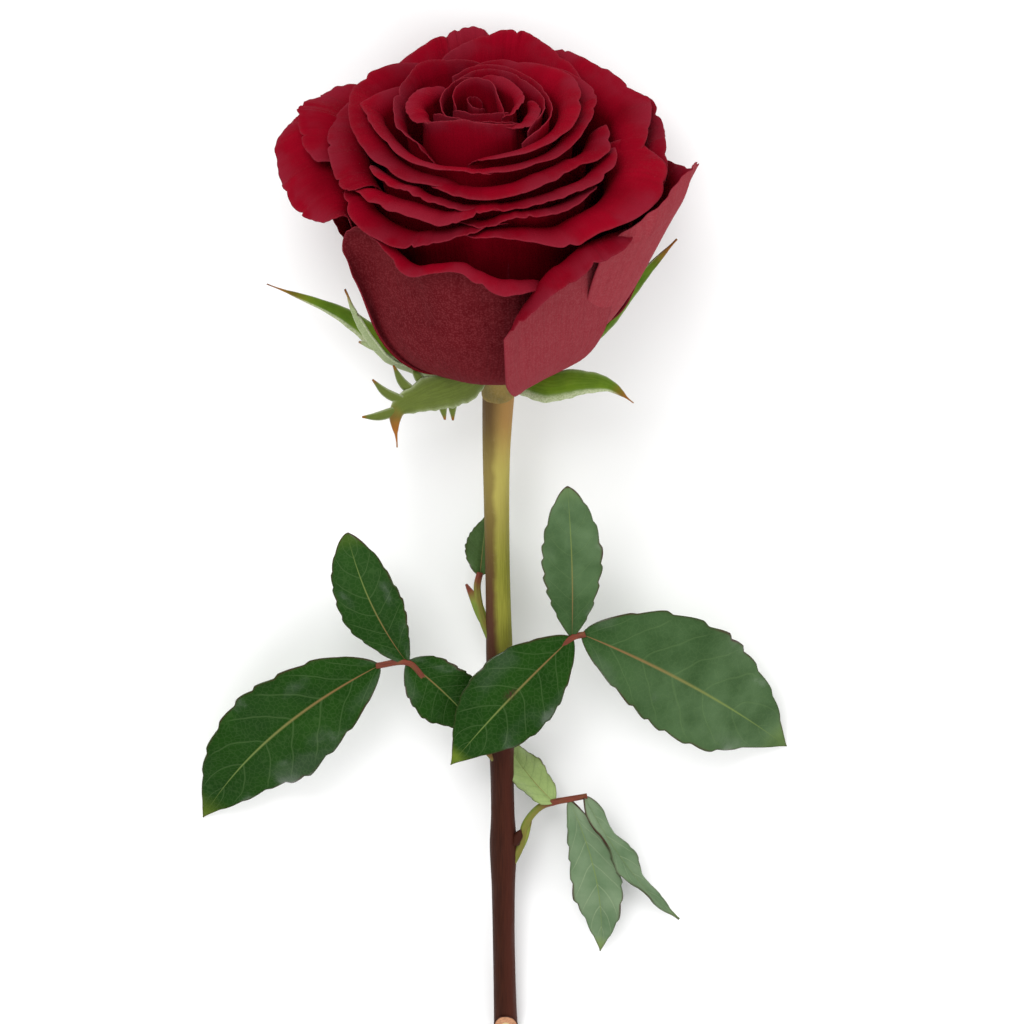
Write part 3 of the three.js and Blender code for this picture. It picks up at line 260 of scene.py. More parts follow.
# The leaves: stipule direction, stalk path, and leaflets as base, tip, half width, arch, face, fold
# and sideways bend.
LEAVES = [
    Leaf("leaf_left", (-0.6, 1, 0.1),
         [(-2.6, -59, 10.4), (-6.4, -54.6, 11.8), (-12.4, -46.3, 14.5), (-18.2, -38.7, 17),
          (-22.3, -33.2, 18.3), (-29.4, -34, 18)],
         [
             Leaflet((-28.6, -33.9, 18), (-68.6, -75.9, 0.42), 12.6, 4, (0.1, 0.15, 1), 0.12, 4.6),
             Leaflet((-22.4, -33.6, 18.2), (-35.2, -2.4, 22), 7.4, 1.5, (-0.1, -0.1, 1), 0.12, -1.6),
             Leaflet((-22.6, -33.0, 18.2), (-7.4, -50.4, 13.6), 6.9, 1, (-0.1, 0, 1), 0.1, -1),
         ]),
    Leaf("leaf_right", (0.5, 1, 0.6),
         [(-1.6, -51.5, 12.2), (-0.2, -47, 14.8), (3.9, -38.2, 17.4), (8.6, -31.4, 19.6),
          (12.9, -26.5, 21), (15.8, -25.7, 21)],
         [
             Leaflet((15.0, -25.7, 21), (60.6, -59.1, 0.45), 13.2, 5, (0.15, 0.2, 1), 0.1, -3),
             Leaflet((12.9, -26.6, 21), (11.7, 9.3, 26), 6.8, 1, (0.1, -0.1, 1), 0.15, 0.5),
             Leaflet((13.0, -26.4, 21), (-13.3, -56.8, 18), 9.6, 1.6, (-0.05, 0, 1), 0.08, 1),
         ]),
    Leaf("leaf_lower", (0.4, 1, 0.1),
         [(-1, -85, 7.4), (1.7, -80.1, 8.2), (3.1, -74, 9.2), (6.2, -70, 9.6), (9.5, -68.8, 9.6),
          (12.8, -68.3, 9.2), (16.5, -67.8, 8.6)],
         [
             Leaflet((16.0, -67.8, 8.7), (37.3, -100, 1.4), 5.2, 2.5, (0.75, 0.4, 0.55), 0.15, 2),
             Leaflet((12.4, -68.3, 9.2), (19.7, -107.3, 2.2), 5.8, 2.5, (-0.15, 0.1, 1), 0.12, -2.6),
             Leaflet((9.3, -68.9, 9.6), (-2.2, -55.4, 3.2), 4.4, 0.6, (0.5, 0.5, 0.7), 0.1, -0.8),
         ]),
    Leaf("leaf_upper", (-0.75, 1, -0.05),
         [(-3.6, -31, 12.8), (-6.2, -25.5, 12.8), (-7.2, -21.4, 12.4), (-7.5, -17.6, 12),
          (-6.9, -14.9, 11.4)],
         [
             Leaflet((-6.95, -15.6, 11.6), (-5.6, -2.7, 9.4), 4.8, -0.4, (-0.1, 0.1, 1), 0.08, 0),
         ]),
]

# Outlines round the bloom's axis as radius and height.
CORE = [(0, 0.3), (5, 0.3), (6.6, 3), (5.4, 14), (3.6, 24), (2.2, 31), (0, 32)]
HIP = [(0, -10.6), (3.46, -10.6), (3.56, -8), (3.85, -4.5), (4.8, -1.6), (4.2, 0), (0, 0)]
BELLY = [(0, 0), (8, 0), (14, 0.9), (19, 2.2), (22.6, 5), (25.2, 8.5), (28, 14), (30.8, 21), (33, 30),
         (36, 40), (0, 40)]


# ---- Curves ----

def unit(v):
    """A vector, or rows of vectors, divided by its length."""
    v = np.asarray(v, float)
    return v / np.maximum(np.linalg.norm(v, axis=-1, keepdims=True), 1e-12)


def smoothstep(x, low, high):
    """3s^2 - 2s^3, where s is x's place from low to high, held to 0..1."""
    s = np.clip((x - low) / (high - low), 0, 1)
    return s * s * (3 - 2 * s)


def spline(points, t, even=False):
    """A Catmull-Rom curve through points at shares t of it.

    Each stretch is a cubic whose end tangents come from the neighbours: half the step over both, for
    even spacing, or weighted by the square root of the distances. The end points are mirrored out.
    """
    p = np.asarray(points, float)
    p = np.vstack([2 * p[0] - p[1], p, 2 * p[-1] - p[-2]])
    place = np.clip(np.asarray(t, float), 0, 1) * (len(p) - 3)
    k = np.minimum(place.astype(int), len(p) - 4)
    w = (place - k)[..., None]
    a, b, c, d = p[k], p[k + 1], p[k + 2], p[k + 3]
    if even:
        start, end = (c - a) / 2, (d - b) / 2
    else:
        steps = ((a, b), (b, c), (c, d))
        ab, bc, cd = (np.sqrt(np.linalg.norm(y - x, axis=-1, keepdims=True)) for x, y in steps)
        start = ((b - a) / ab - (c - a) / (ab + bc) + (c - b) / bc) * bc
        end = ((c - b) / bc - (d - b) / (bc + cd) + (d - c) / cd) * bc
    return b + start * w + (-3 * b + 3 * c - 2 * start - end) * w**2 + (2 * b - 2 * c + start + end) * w**3


def tangent(points, t):
    """The direction of the spline at shares t: the step over a small share on both sides."""
    return unit(spline(points, np.asarray(t) + 1e-4) - spline(points, np.asarray(t) - 1e-4))


def across_triple(triple, u):
    """The quadratic through three values at u = -1, 0 and 1."""
    low, mid, high = triple
    return mid + (high - low) / 2 * u + ((low + high) / 2 - mid) * u * u


def bloom_axes():
    """The bloom's own axes: right, towards the floor, and along its axis."""
    along = unit(BLOOM_AXIS)
    right = unit(np.array([1.0, 0, 0]) - along * along[0])
    return right, np.cross(along, right), along


def on_bloom(azimuth, radius, height):
    """Base + radius (cos azimuth right + sin azimuth back) + height along the bloom's axis."""
    right, back, along = bloom_axes()
    angle = np.radians(azimuth)[..., None]
    radius = np.asarray(radius, float)[..., None]
    height = np.asarray(height, float)[..., None]
    return BLOOM_BASE + radius * (np.cos(angle) * right + np.sin(angle) * back) + height * along


def settle(points):
    """Points near the floor flatten onto it: z becomes skin + soft log(1 + exp((z - skin) / soft))."""
    out = points.copy()
    over = (points[..., 2] - FLOOR_SKIN) / FLOOR_SOFT
    out[..., 2] = FLOOR_SKIN + FLOOR_SOFT * np.logaddexp(0, over)
    return out


def lifted(points, lowest):
    """Points whose z is at least the lowest height."""
    return np.maximum(points, [-np.inf, -np.inf, lowest])


# ---- Meshes from grids ----

def grid_normals(points):
    """Unit cross products of a grid's steps across and along."""
    return unit(np.cross(np.gradient(points, axis=1), np.gradient(points, axis=0)))


def grid_quads(rows, columns, closed=False):
    """Quads of a grid in rows, facing across x along, with the last column joined to the first if closed."""
    j, i = np.meshgrid(np.arange(rows - 1), np.arange(columns if closed else columns - 1), indexing="ij")
    a = j * columns + i
    b = j * columns + (i + 1) % columns
    return np.stack([a, b, b + columns, a + columns], axis=-1).reshape(-1, 4)


def new_piece(name, points, faces, materials, values, floor=None):
    """A mesh object from points in the drawing frame, lists of faces with their material's number, and
    values on the points. Its place is in its mesh."""
    points = np.asarray(points, float).reshape(-1, 3)
    if floor is not None:
        points = lifted(points, floor)
    mesh = bpy.data.meshes.new(name)
    loops = np.concatenate([f.ravel() for f, _ in faces]).astype(np.int32)
    sizes = np.concatenate([np.full(len(f), f.shape[1]) for f, _ in faces])
    slots = np.concatenate([np.full(len(f), slot) for f, slot in faces]).astype(np.int32)
    mesh.vertices.add(len(points))
    mesh.vertices.foreach_set("co", ((points - CENTRE) * MM).astype(np.float32).ravel())
    mesh.loops.add(len(loops))
    mesh.loops.foreach_set("vertex_index", loops)
    mesh.polygons.add(len(sizes))
    mesh.polygons.foreach_set("loop_start", np.concatenate([[0], np.cumsum(sizes)[:-1]]).astype(np.int32))
    for material in materials:
        mesh.materials.append(material)
    mesh.polygons.foreach_set("material_index", slots)
    mesh.update(calc_edges=True)
    mesh.validate()
    mesh.shade_smooth()
    for key, value in values.items():
        attribute = mesh.attributes.new(key, "FLOAT", "POINT")
        attribute.data.foreach_set("value", np.asarray(value, np.float32).ravel())
    piece = bpy.data.objects.new(name, mesh)
    bpy.context.scene.collection.objects.link(piece)
    return piece


class Shells:
    """Gathers thin sheets into one mesh: each is a middle surface moved half its thickness both ways."""

    def __init__(self):
        self.points, self.faces, self.values, self.count = [], [], {}, 0

    def add(self, middle, thickness, back, **values):
        """Adds a sheet. back is 1 where the side that its normals point to is the underside, and 0
        where it is the upper side. The rim is closed by a strip of quads."""
        rows, columns = middle.shape[:2]
        move = grid_normals(middle) * (np.broadcast_to(thickness, (rows, columns))[..., None] / 2)
        under = rows * columns
        index = np.arange(under).reshape(rows, columns)
        rim = np.concatenate([index[0, :-1], index[:-1, -1], index[-1, :0:-1], index[:0:-1, 0]])
        ahead = np.roll(rim, -1)
        upper = grid_quads(rows, columns)
        strip = np.column_stack([rim + under, ahead + under, ahead, rim])
        self.points.append(np.concatenate([middle + move, middle - move]).reshape(-1, 3))
        self.faces.append(np.concatenate([upper, upper[:, ::-1] + under, strip]) + self.count)
        values["underside"] = float(back)
        for key, value in values.items():
            value = np.broadcast_to(value, (rows, columns)).ravel()
            other = 1 - value if key == "underside" else value
            self.values.setdefault(key, []).append(np.concatenate([value, other]))
        self.count += 2 * under

    def piece(self, name, materials, floor=None):
        """The mesh object of all sheets added."""
        faces = [(np.concatenate(self.faces), 0)]
        values = {key: np.concatenate(value) for key, value in self.values.items()}
        return new_piece(name, np.concatenate(self.points), faces, materials, values, floor)


def tube_rings(points, radii, sides, shares):
    """Rings round the spline: centre + radius (cos a right + sin a up), with right across the path."""
    centre = spline(points, shares)
    along = tangent(points, shares)
    right = unit(np.cross(along, UP_HINT))
    up = np.cross(right, along)
    angle = np.linspace(0, 2 * math.pi, sides, endpoint=False)
    spoke = np.cos(angle)[None, :, None] * right[:, None] + np.sin(angle)[None, :, None] * up[:, None]
    radius = spline(np.asarray(radii, float)[:, None], shares, even=True)[:, None]
    return centre, spoke, radius, angle


def closed_piece(name, rings, materials, values, ends=None, cap=0, flip=False, floor=None):
    """A tube of rings, closed by a fan of triangles at each end. Values are given on the rings, and a
    fan's middle takes the mean of its ring, or what ends gives. cap is the first fan's material, and
    flip turns the faces where the rings run the other way."""
    rows, sides = rings.shape[:2]
    points = np.concatenate([rings.reshape(-1, 3), rings[[0, -1]].mean(1)])
    i = np.arange(sides)
    ahead = (i + 1) % sides
    top = (rows - 1) * sides
    wall = grid_quads(rows, sides, closed=True)[:, ::-1]
    first = np.column_stack([np.full(sides, rows * sides), i, ahead])
    last = np.column_stack([np.full(sides, rows * sides + 1), top + ahead, top + i])
    way = -1 if flip else 1
    faces = [(wall[:, ::way], 0), (first[:, ::way], cap), (last[:, ::way], 0)]
    spread = {}
    for key, value in values.items():
        value = np.broadcast_to(value, (rows, sides))
        spread[key] = np.append(value, (ends or {}).get(key, value[[0, -1]].mean(1)))
    return new_piece(name, points, faces, materials, spread, floor)


def turned(profile, sides, steps, ribs=0.0):
    """A profile of radius and height, smoothed by a spline, turned round the bloom's axis. Its radius
    is r (1 + ribs cos 5a)."""
    flat = np.column_stack([np.asarray(profile, float), np.zeros(len(profile))])
    outline = spline(flat, np.linspace(0, 1, steps))
    angle = np.linspace(0, 360, sides, endpoint=False)
    radius = np.maximum(outline[:, :1], 0.02) * (1 + ribs * np.cos(np.radians(5 * angle)))
    return on_bloom(*np.broadcast_arrays(angle, radius, outline[:, 1:2]))


# ---- Shader graphs ----

def rgba(colour):
    """A colour as red, green, blue and a full alpha."""
    return (*colour[:3], 1.0)


class Graph:
    """Short calls for adding linked nodes to a node tree."""

    def __init__(self, tree):
        self.tree = tree

    def node(self, kind, inputs=(), **settings):
        made = self.tree.nodes.new(kind)
        for key, value in settings.items():
            setattr(made, key, value)
        for key, value in dict(inputs).items():
            self.feed(made.inputs[key], value)
        return made

    def feed(self, socket, value):
        """Links another node's output to a socket, or sets a plain number or colour there."""
        if isinstance(value, bpy.types.NodeSocket):
            self.tree.links.new(value, socket)
        else:
            socket.default_value = value

    def attributes(self, *names):
        return [self.node("ShaderNodeAttribute", attribute_name=name).outputs["Fac"] for name in names]

    def math(self, operation, *operands, clamp=False):
        inputs = dict(enumerate(operands))
        return self.node("ShaderNodeMath", inputs, operation=operation, use_clamp=clamp).outputs[0]

    def times(self, a, b):
        return self.math("MULTIPLY", a, b)

    def plus(self, a, b, clamp=False):
        return self.math("ADD", a, b, clamp=clamp)

    def minus(self, a, b):
        return self.math("SUBTRACT", a, b)

    def ramp(self, value, low, high, to_low=0.0, to_high=1.0, kind="SMOOTHSTEP"):
        """value's place from low to high, smoothed, as a number from to_low to to_high."""
        inputs = {"Value": value, "From Min": low, "From Max": high, "To Min": to_low, "To Max": to_high}
        return self.node("ShaderNodeMapRange", inputs, interpolation_type=kind).outputs["Result"]

    def mix(self, share, a, b, blend="MIX"):
        """Colour a with b mixed in by its share."""
        made = self.node("ShaderNodeMix", data_type="RGBA", blend_type=blend)
        for key, value in {"Factor": share, "A": a, "B": b}.items():
            kind = "NodeSocketFloatFactor" if key == "Factor" else "NodeSocketColor"
            socket = next(s for s in made.inputs if s.name == key and s.bl_idname == kind)
            self.feed(socket, rgba(value) if hasattr(value, "__len__") else value)
        return next(s for s in made.outputs if s.bl_idname == "NodeSocketColor")

    def layers(self, colour, *layers):
        """A colour with others laid over it in turn, each by its own mask."""
        for mask, over in layers:
            colour = self.mix(mask, colour, over)
        return colour

    def group(self, tree, **inputs):
        made = self.node("ShaderNodeGroup", inputs, node_tree=tree)
        return made.outputs


def effect(name, inputs, outputs):
    """An empty node group with named inputs (a number, or a vector where None) and number outputs."""
    tree = bpy.data.node_groups.new(name, "ShaderNodeTree")
    for key, value in inputs.items():
        kind = "NodeSocketVector" if value is None else "NodeSocketFloat"
        socket = tree.interface.new_socket(key, in_out="INPUT", socket_type=kind)
        if value is not None:
            socket.default_value = value
    for key in outputs:
        tree.interface.new_socket(key, in_out="OUTPUT", socket_type="NodeSocketFloat")
    graph = Graph(tree)
    return graph, graph.node("NodeGroupInput").outputs, graph.node("NodeGroupOutput").inputs


def noise(graph, place, scale, detail):
    inputs = {"Vector": place, "Scale": scale, "Detail": detail}
    return graph.node("ShaderNodeTexNoise", inputs).outputs["Fac"]


def mottle_effect():
    """Soft patches: noise stretched about a half by the contrast."""
    graph, given, out = effect("Mottle", {"Vector": None, "Scale": 100.0, "Contrast": 2.0}, ["Mask"])
    cloud = noise(graph, given["Vector"], given["Scale"], 4.0)
    spread = graph.times(graph.minus(cloud, 0.5), given["Contrast"])
    graph.feed(out["Mask"], graph.plus(spread, 0.5, clamp=True))
    return graph.tree


def speckle_effect():
    """Small separate flecks: noise above a threshold that falls as the amount grows."""
    graph, given, out = effect("Speckle", {"Vector": None, "Scale": 1500.0, "Amount": 0.4}, ["Mask"])
    cloud = noise(graph, given["Vector"], given["Scale"], 2.0)
    floor = graph.minus(0.75, graph.times(given["Amount"], 0.35))
    graph.feed(out["Mask"], graph.ramp(cloud, floor, graph.plus(floor, 0.12)))
    return graph.tree


def streak_effect():
    """Fine lines that run along a surface: where noise on (across x count, along x stretch) is near a
    half; and soft bands, where it is high."""
    given_in = {"Across": 0.0, "Along": 0.0, "Seed": 0.0, "Count": 60.0, "Stretch": 3.0, "Width": 0.12}
    graph, given, out = effect("Streaks", given_in, ["Lines", "Bands"])
    parts = {
        "X": graph.times(given["Across"], given["Count"]),
        "Y": graph.times(given["Along"], given["Stretch"]),
        "Z": graph.times(given["Seed"], 17.0),
    }
    cloud = noise(graph, graph.node("ShaderNodeCombineXYZ", parts).outputs[0], 1.0, 3.0)
    away = graph.math("ABSOLUTE", graph.minus(cloud, 0.5))
    graph.feed(out["Lines"], graph.ramp(away, 0.0, given["Width"], 1.0, 0.0))
    graph.feed(out["Bands"], graph.ramp(cloud, 0.3, 0.7))
    return graph.tree


def leaf_vein_effect():
    """A leaf's veins: the midrib by |across|, side veins where (along - slant |across|^1.25) x pairs is
    near a whole number and a half, and a net of cell edges between them."""
    given_in = {"Vector": None, "Across": 0.0, "Along": 0.0, "Pairs": 7.0, "Slant": 0.2, "Net": 900.0}
    graph, given, out = effect("Leaf veins", given_in, ["Midrib", "Side", "Net"])
    side = graph.math("ABSOLUTE", given["Across"])
    middle = graph.math("MULTIPLY_ADD", given["Along"], -0.035, 0.06)
    graph.feed(out["Midrib"], graph.ramp(side, 0.0, middle, 1.0, 0.0))
    place = graph.minus(given["Along"], graph.times(graph.math("POWER", side, VEIN_BEND), given["Slant"]))
    place = graph.math("MULTIPLY_ADD", noise(graph, given["Vector"], 160.0, 1.0), 0.05, place)
    turn = graph.math("FRACT", graph.times(place, given["Pairs"]))
    away = graph.math("ABSOLUTE", graph.minus(turn, 0.5))
    faded = graph.ramp(side, 0.75, 1.0, 1.0, 0.1)
    graph.feed(out["Side"], graph.times(graph.ramp(away, 0.44, 0.5), faded))
    inputs = {"Vector": given["Vector"], "Scale": given["Net"]}
    cells = graph.node("ShaderNodeTexVoronoi", inputs, feature="DISTANCE_TO_EDGE").outputs["Distance"]
    graph.feed(out["Net"], graph.ramp(cells, 0.0, 0.12, 1.0, 0.0))
    return graph.tree


EFFECTS = {
    "Mottle": mottle_effect,
    "Speckle": speckle_effect,
    "Streaks": streak_effect,
    "Leaf veins": leaf_vein_effect,
}


def shared_effect(name):
    """A shader group, built the first time."""
    return bpy.data.node_groups.get(name) or EFFECTS[name]()


class Skin(Graph):
    """A material's graph. Its Principled shader's even values are set directly, and the patterns read
    Object coordinates or the piece's own attributes."""

    def __init__(self, name, **sockets):
        self.material = bpy.data.materials.new(name)
        self.material.use_nodes = True
        super().__init__(self.material.node_tree)
        self.shader = self.tree.nodes["Principled BSDF"].inputs
        for key, value in sockets.items():
            self.shader[key.replace("_", " ")].default_value = value
        self.place = self.node("ShaderNodeTexCoord").outputs["Object"]

    def patches(self, scale, contrast):
        return self.group(shared_effect("Mottle"), Vector=self.place, Scale=scale, Contrast=contrast)["Mask"]

    def flecks(self, scale, amount):
        return self.group(shared_effect("Speckle"), Vector=self.place, Scale=scale, Amount=amount)["Mask"]

    def streaks(self, across, along, seed, count, stretch, width):
        inputs = {"Across": across, "Along": along, "Seed": seed}
        return self.group(shared_effect("Streaks"), **inputs, Count=count, Stretch=stretch, Width=width)

    def finish(self, colour, roughness, height, strength, distance):
        """Feeds the shader its colour, its roughness and a bump, and gives the material."""
        bump = self.node("ShaderNodeBump", {"Strength": strength, "Distance": distance, "Height": height})
        self.feed(self.shader["Base Color"], colour)
        self.feed(self.shader["Roughness"], roughness)
        self.feed(self.shader["Normal"], bump.outputs["Normal"])
        return self.material


def petal_material(settings):
    """Velvet red. The outer petals' backs are duller and pinkish with flecks; fine veins run from the
    root, the bodies darken towards it with painted shade, the lip is greyer with a painted velvet sheen
    and the margin paler."""
    skin = Skin(
        "petal_velvet", Sheen_Weight=0.006, Sheen_Roughness=0.4, Sheen_Tint=rgba((0.9, 0.3, 0.36)),
        Specular_IOR_Level=0.015,
    )
    under, reach, across, tone = skin.attributes("underside", "reach", "across", "tone")
    edge, dull, pale, shade = skin.attributes("edge", "dull", "pale", "shade")
    mottle, soft, grain = skin.patches(90.0, 2.2), skin.patches(650.0, 2.5), skin.patches(2600.0, 2.5)
    flecks = skin.flecks(2600.0, 0.75)
    veins = skin.streaks(across, reach, tone, count=26.0, stretch=2.2, width=0.05)
    front = skin.layers(
        skin.mix(mottle, settings.front, settings.front_deep),
        (skin.times(veins["Bands"], 0.3), settings.front_deep),
        # painted shade: below the lip each petal darkens towards the root, by its shade, where shade falls
        # between the petals
        (skin.times(skin.ramp(reach, 0.62, 0.9, 1.0, 0.0), shade), settings.fold),
        # painted sheen: a mottled greyish band below the rim stands for the velvet's sheen at grazing angles
        (skin.times(skin.ramp(reach, 0.9, 1.0), skin.ramp(mottle, 0.3, 0.7, 0.05, 0.8)), settings.lip),
    )
    back = skin.layers(
        skin.mix(mottle, settings.back_deep, settings.back),
        (pale, settings.back_pale),
        (skin.times(soft, skin.ramp(pale, 0.0, 1.0, 0.08, 0.3)), settings.fleck),
        (skin.times(flecks, skin.ramp(pale, 0.0, 1.0, 0.18, 0.5)), settings.fleck),
        (skin.times(veins["Lines"], 0.12), settings.back_deep),
    )
    gain = skin.ramp(tone, 0.0, 1.0, 0.86, 1.1, "LINEAR")
    gains = skin.node("ShaderNodeCombineColor", {0: gain, 1: gain, 2: gain}).outputs[0]
    colour = skin.mix(1.0, skin.mix(skin.times(under, dull), front, back), gains, "MULTIPLY")
    colour = skin.mix(skin.times(edge, skin.ramp(grain, 0.2, 0.8, 0.25, 0.7)), colour, settings.margin)
    lines = skin.times(veins["Bands"], skin.ramp(under, 0.0, 1.0, 0.5, 1.0))
    height = skin.plus(lines, skin.times(grain, 0.3))
    return skin.finish(colour, skin.ramp(grain, 0.0, 1.0, 0.55, 0.8), height, 0.35, 0.00025)


def leaf_material(settings):
    """Dark glossy green above with a painted grey sheen on some leaflets, pale below, with lighter
    veins, a red-brown margin and yellow tips.
    """
    skin = Skin("leaf_skin", Specular_IOR_Level=0.02, Coat_Roughness=0.16)
    under, along, across, gold = skin.attributes("underside", "along", "across", "gold")
    pale, young, spot, edge = skin.attributes("pale", "young", "spot", "edge")
    inputs = {"Pairs": SIDE_VEINS, "Slant": VEIN_SLANT, "Net": 900.0}
    veins = skin.group(shared_effect("Leaf veins"), Vector=skin.place, Across=across, Along=along, **inputs)
    midrib, side, net = (veins[key] for key in ("Midrib", "Side", "Net"))
    mottle, grain, shine = skin.patches(120.0, 2.0), skin.patches(1600.0, 2.0), skin.patches(75.0, 3.0)
    rib = skin.mix(skin.ramp(along, 0.1, 0.75), settings.rib_root, settings.rib)
    upper = skin.layers(
        skin.mix(mottle, settings.upper_deep, settings.upper),
        # painted sheen: greyish patches over the upper side stand for light reflected off the leaflet
        (skin.times(pale, skin.ramp(mottle, 0.1, 0.9, 0.5, 1.0)), settings.painted_grey_sheen),
        (young, settings.young),
        (skin.math("MAXIMUM", skin.times(net, 0.1), skin.times(side, 0.24)), settings.vein),
        (skin.times(midrib, skin.ramp(along, 0.7, 1.0, 0.85, 0.3)), rib),
    )
    lower = skin.layers(
        skin.mix(mottle, settings.lower_deep, settings.lower),
        (skin.times(side, 0.5), settings.lower_vein),
        (skin.times(midrib, 0.8), settings.rib),
    )
    tip = skin.times(skin.ramp(along, 0.87, 0.98), skin.ramp(mottle, 0.2, 0.7, 0.4, 0.9))
    colour = skin.layers(
        skin.mix(under, upper, lower),
        (skin.times(tip, gold), settings.tip),
        (skin.times(edge, skin.ramp(mottle, 0.3, 0.8, 0.35, 1.0)), settings.margin),
        (skin.times(spot, skin.ramp(grain, 0.1, 0.7)), settings.margin),
    )
    towards_edge = skin.ramp(skin.math("ABSOLUTE", across), 0.35, 0.75)
    curled = skin.times(towards_edge, skin.ramp(shine, 0.5, 0.9, 0.02, 0.7))
    coat = skin.times(skin.math("MAXIMUM", curled, 0.02), skin.ramp(under, 0.0, 1.0, 1.0, 0.0))
    skin.feed(skin.shader["Coat Weight"], coat)
    rough = skin.plus(skin.ramp(mottle, 0.0, 1.0, 0.34, 0.5), skin.ramp(under, 0.0, 1.0, 0.0, 0.3))
    sunk = skin.plus(skin.times(net, 0.35), skin.times(side, 0.8))
    return skin.finish(colour, rough, skin.minus(skin.times(grain, 0.25), sunk), 0.4, 0.00022)


def stem_material(settings):
    """Red-brown bark below, turning yellow-green above with a purple-brown left side that is partly
    painted shade, and tan at the neck, with fine streaks and pale pores."""
    skin = Skin("bark_skin", Specular_IOR_Level=0.05)
    height, turn, left = skin.attributes("station", "turn", "left")
    bands = skin.streaks(turn, height, 0.3, count=46.0, stretch=0.16, width=0.1)["Bands"]
    mottle, pores = skin.patches(160.0, 2.2), skin.flecks(900.0, 0.35)
    bark = skin.layers(
        skin.mix(bands, settings.bark_deep, settings.bark),
        (skin.times(skin.ramp(left, -0.6, 0.4, 1.0, 0.0), 0.5), settings.bark_red),
    )
    # partly painted shade: the stem's left side, and the neck's, take the purple-brown blush, which also
    # stands for the shade on that side; it eases towards the neck
    shaded = skin.ramp(skin.math("MULTIPLY_ADD", mottle, 0.3, left), 0.0, 0.6)
    neck = skin.mix(skin.ramp(left, -0.6, 0.6), settings.neck, settings.blush_and_shade)
    green = skin.layers(
        skin.mix(bands, settings.green_deep, settings.green),
        (skin.ramp(height, -14.0, 8.0, 0.0, 0.75), settings.green_pale),
        (skin.times(shaded, skin.ramp(height, -25.0, 12.0, 1.0, 0.55)), settings.blush_and_shade),
        (skin.times(skin.ramp(height, 8.0, 24.0), 0.75), neck),
    )
    wander = skin.math("MULTIPLY_ADD", mottle, 10.0, height)
    colour = skin.layers(
        skin.mix(skin.ramp(wander, -48.0, -18.0), bark, green),
        (skin.times(pores, skin.ramp(height, -30.0, 0.0, 0.0, 0.12)), settings.pore),
    )
    relief = skin.plus(bands, skin.times(pores, 0.8))
    return skin.finish(colour, skin.ramp(mottle, 0.0, 1.0, 0.42, 0.6), relief, 0.3, 0.0002)


def cut_material(settings):
    """The freshly cut wood: pale ring, greenish pith and fine fibres round the stem's middle."""
    skin = Skin("cut_wood", Specular_IOR_Level=0.1)
    (out,) = skin.attributes("rim_share")
    grain = skin.patches(2400.0, 2.5)
    colour = skin.layers(
        skin.mix(grain, settings.wood_deep, settings.wood),
        (skin.ramp(out, 0.3, 0.42, 1.0, 0.0), settings.pith),
        (skin.ramp(out, 0.82, 0.95), settings.bark_red),
    )
    return skin.finish(colour, skin.ramp(grain, 0.0, 1.0, 0.6, 0.85), grain, 0.4, 0.0002)


def stalk_material(settings):
    """Leafstalks: red-brown on top and towards the leaflets, green-yellow beneath, with fine streaks."""
    skin = Skin("stalk_skin", Specular_IOR_Level=0.15)
    along, turn, red = skin.attributes("along", "turn", "red")
    bands = skin.streaks(turn, along, 0.6, count=14.0, stretch=8.0, width=0.1)["Bands"]
    mottle = skin.patches(300.0, 2.2)
    stalk = skin.mix(bands, settings.red_deep, settings.red)
    green = skin.mix(mottle, settings.green_deep, settings.green)
    share = skin.plus(red, skin.times(skin.minus(mottle, 0.5), 0.4), clamp=True)
    rough = skin.ramp(mottle, 0.0, 1.0, 0.4, 0.6)
    return skin.finish(skin.mix(share, green, stalk), rough, bands, 0.3, 0.00015)


def calyx_material(settings):
    """Yellow-green hip and sepals: downy pale edges and insides, fine ribs, and brown tips."""
    skin = Skin("calyx_skin", Sheen_Weight=0.015, Sheen_Roughness=0.5, Specular_IOR_Level=0.05)
    along, across, tint, down, tips = skin.attributes("along", "across", "tint", "down", "brown")
    ribs = skin.streaks(across, along, tint, count=9.0, stretch=3.0, width=0.1)
    mottle, fuzz = skin.patches(220.0, 2.4), skin.patches(3000.0, 3.0)
    green = skin.layers(
        skin.mix(mottle, settings.green_deep, settings.green),
        (skin.times(tint, 0.8), settings.grey_green),
        (skin.times(ribs["Lines"], 0.14), settings.rib),
        (skin.times(down, skin.ramp(fuzz, 0.1, 0.8, 0.6, 1.0)), settings.down),
    )
    brown = skin.mix(mottle, settings.tip_deep, settings.tip)
    rough = skin.ramp(fuzz, 0.0, 1.0, 0.5, 0.75)
    height = skin.plus(ribs["Bands"], skin.times(fuzz, 0.3))
    return skin.finish(skin.mix(tips, green, brown), rough, height, 0.35, 0.0002)


# ---- Settings ----

def colour_property(name, description, default):
    return FloatVectorProperty(
        name=name, description=description, default=default, size=3, min=0, max=1, subtype="COLOR"
    )


def count_property(name, description, default, low, high):
    return IntProperty(name=name, description=description, default=default, min=low, max=high)


def unit_property(name, description, default, unit):
    return FloatProperty(name=name, description=description, default=default, unit=unit)


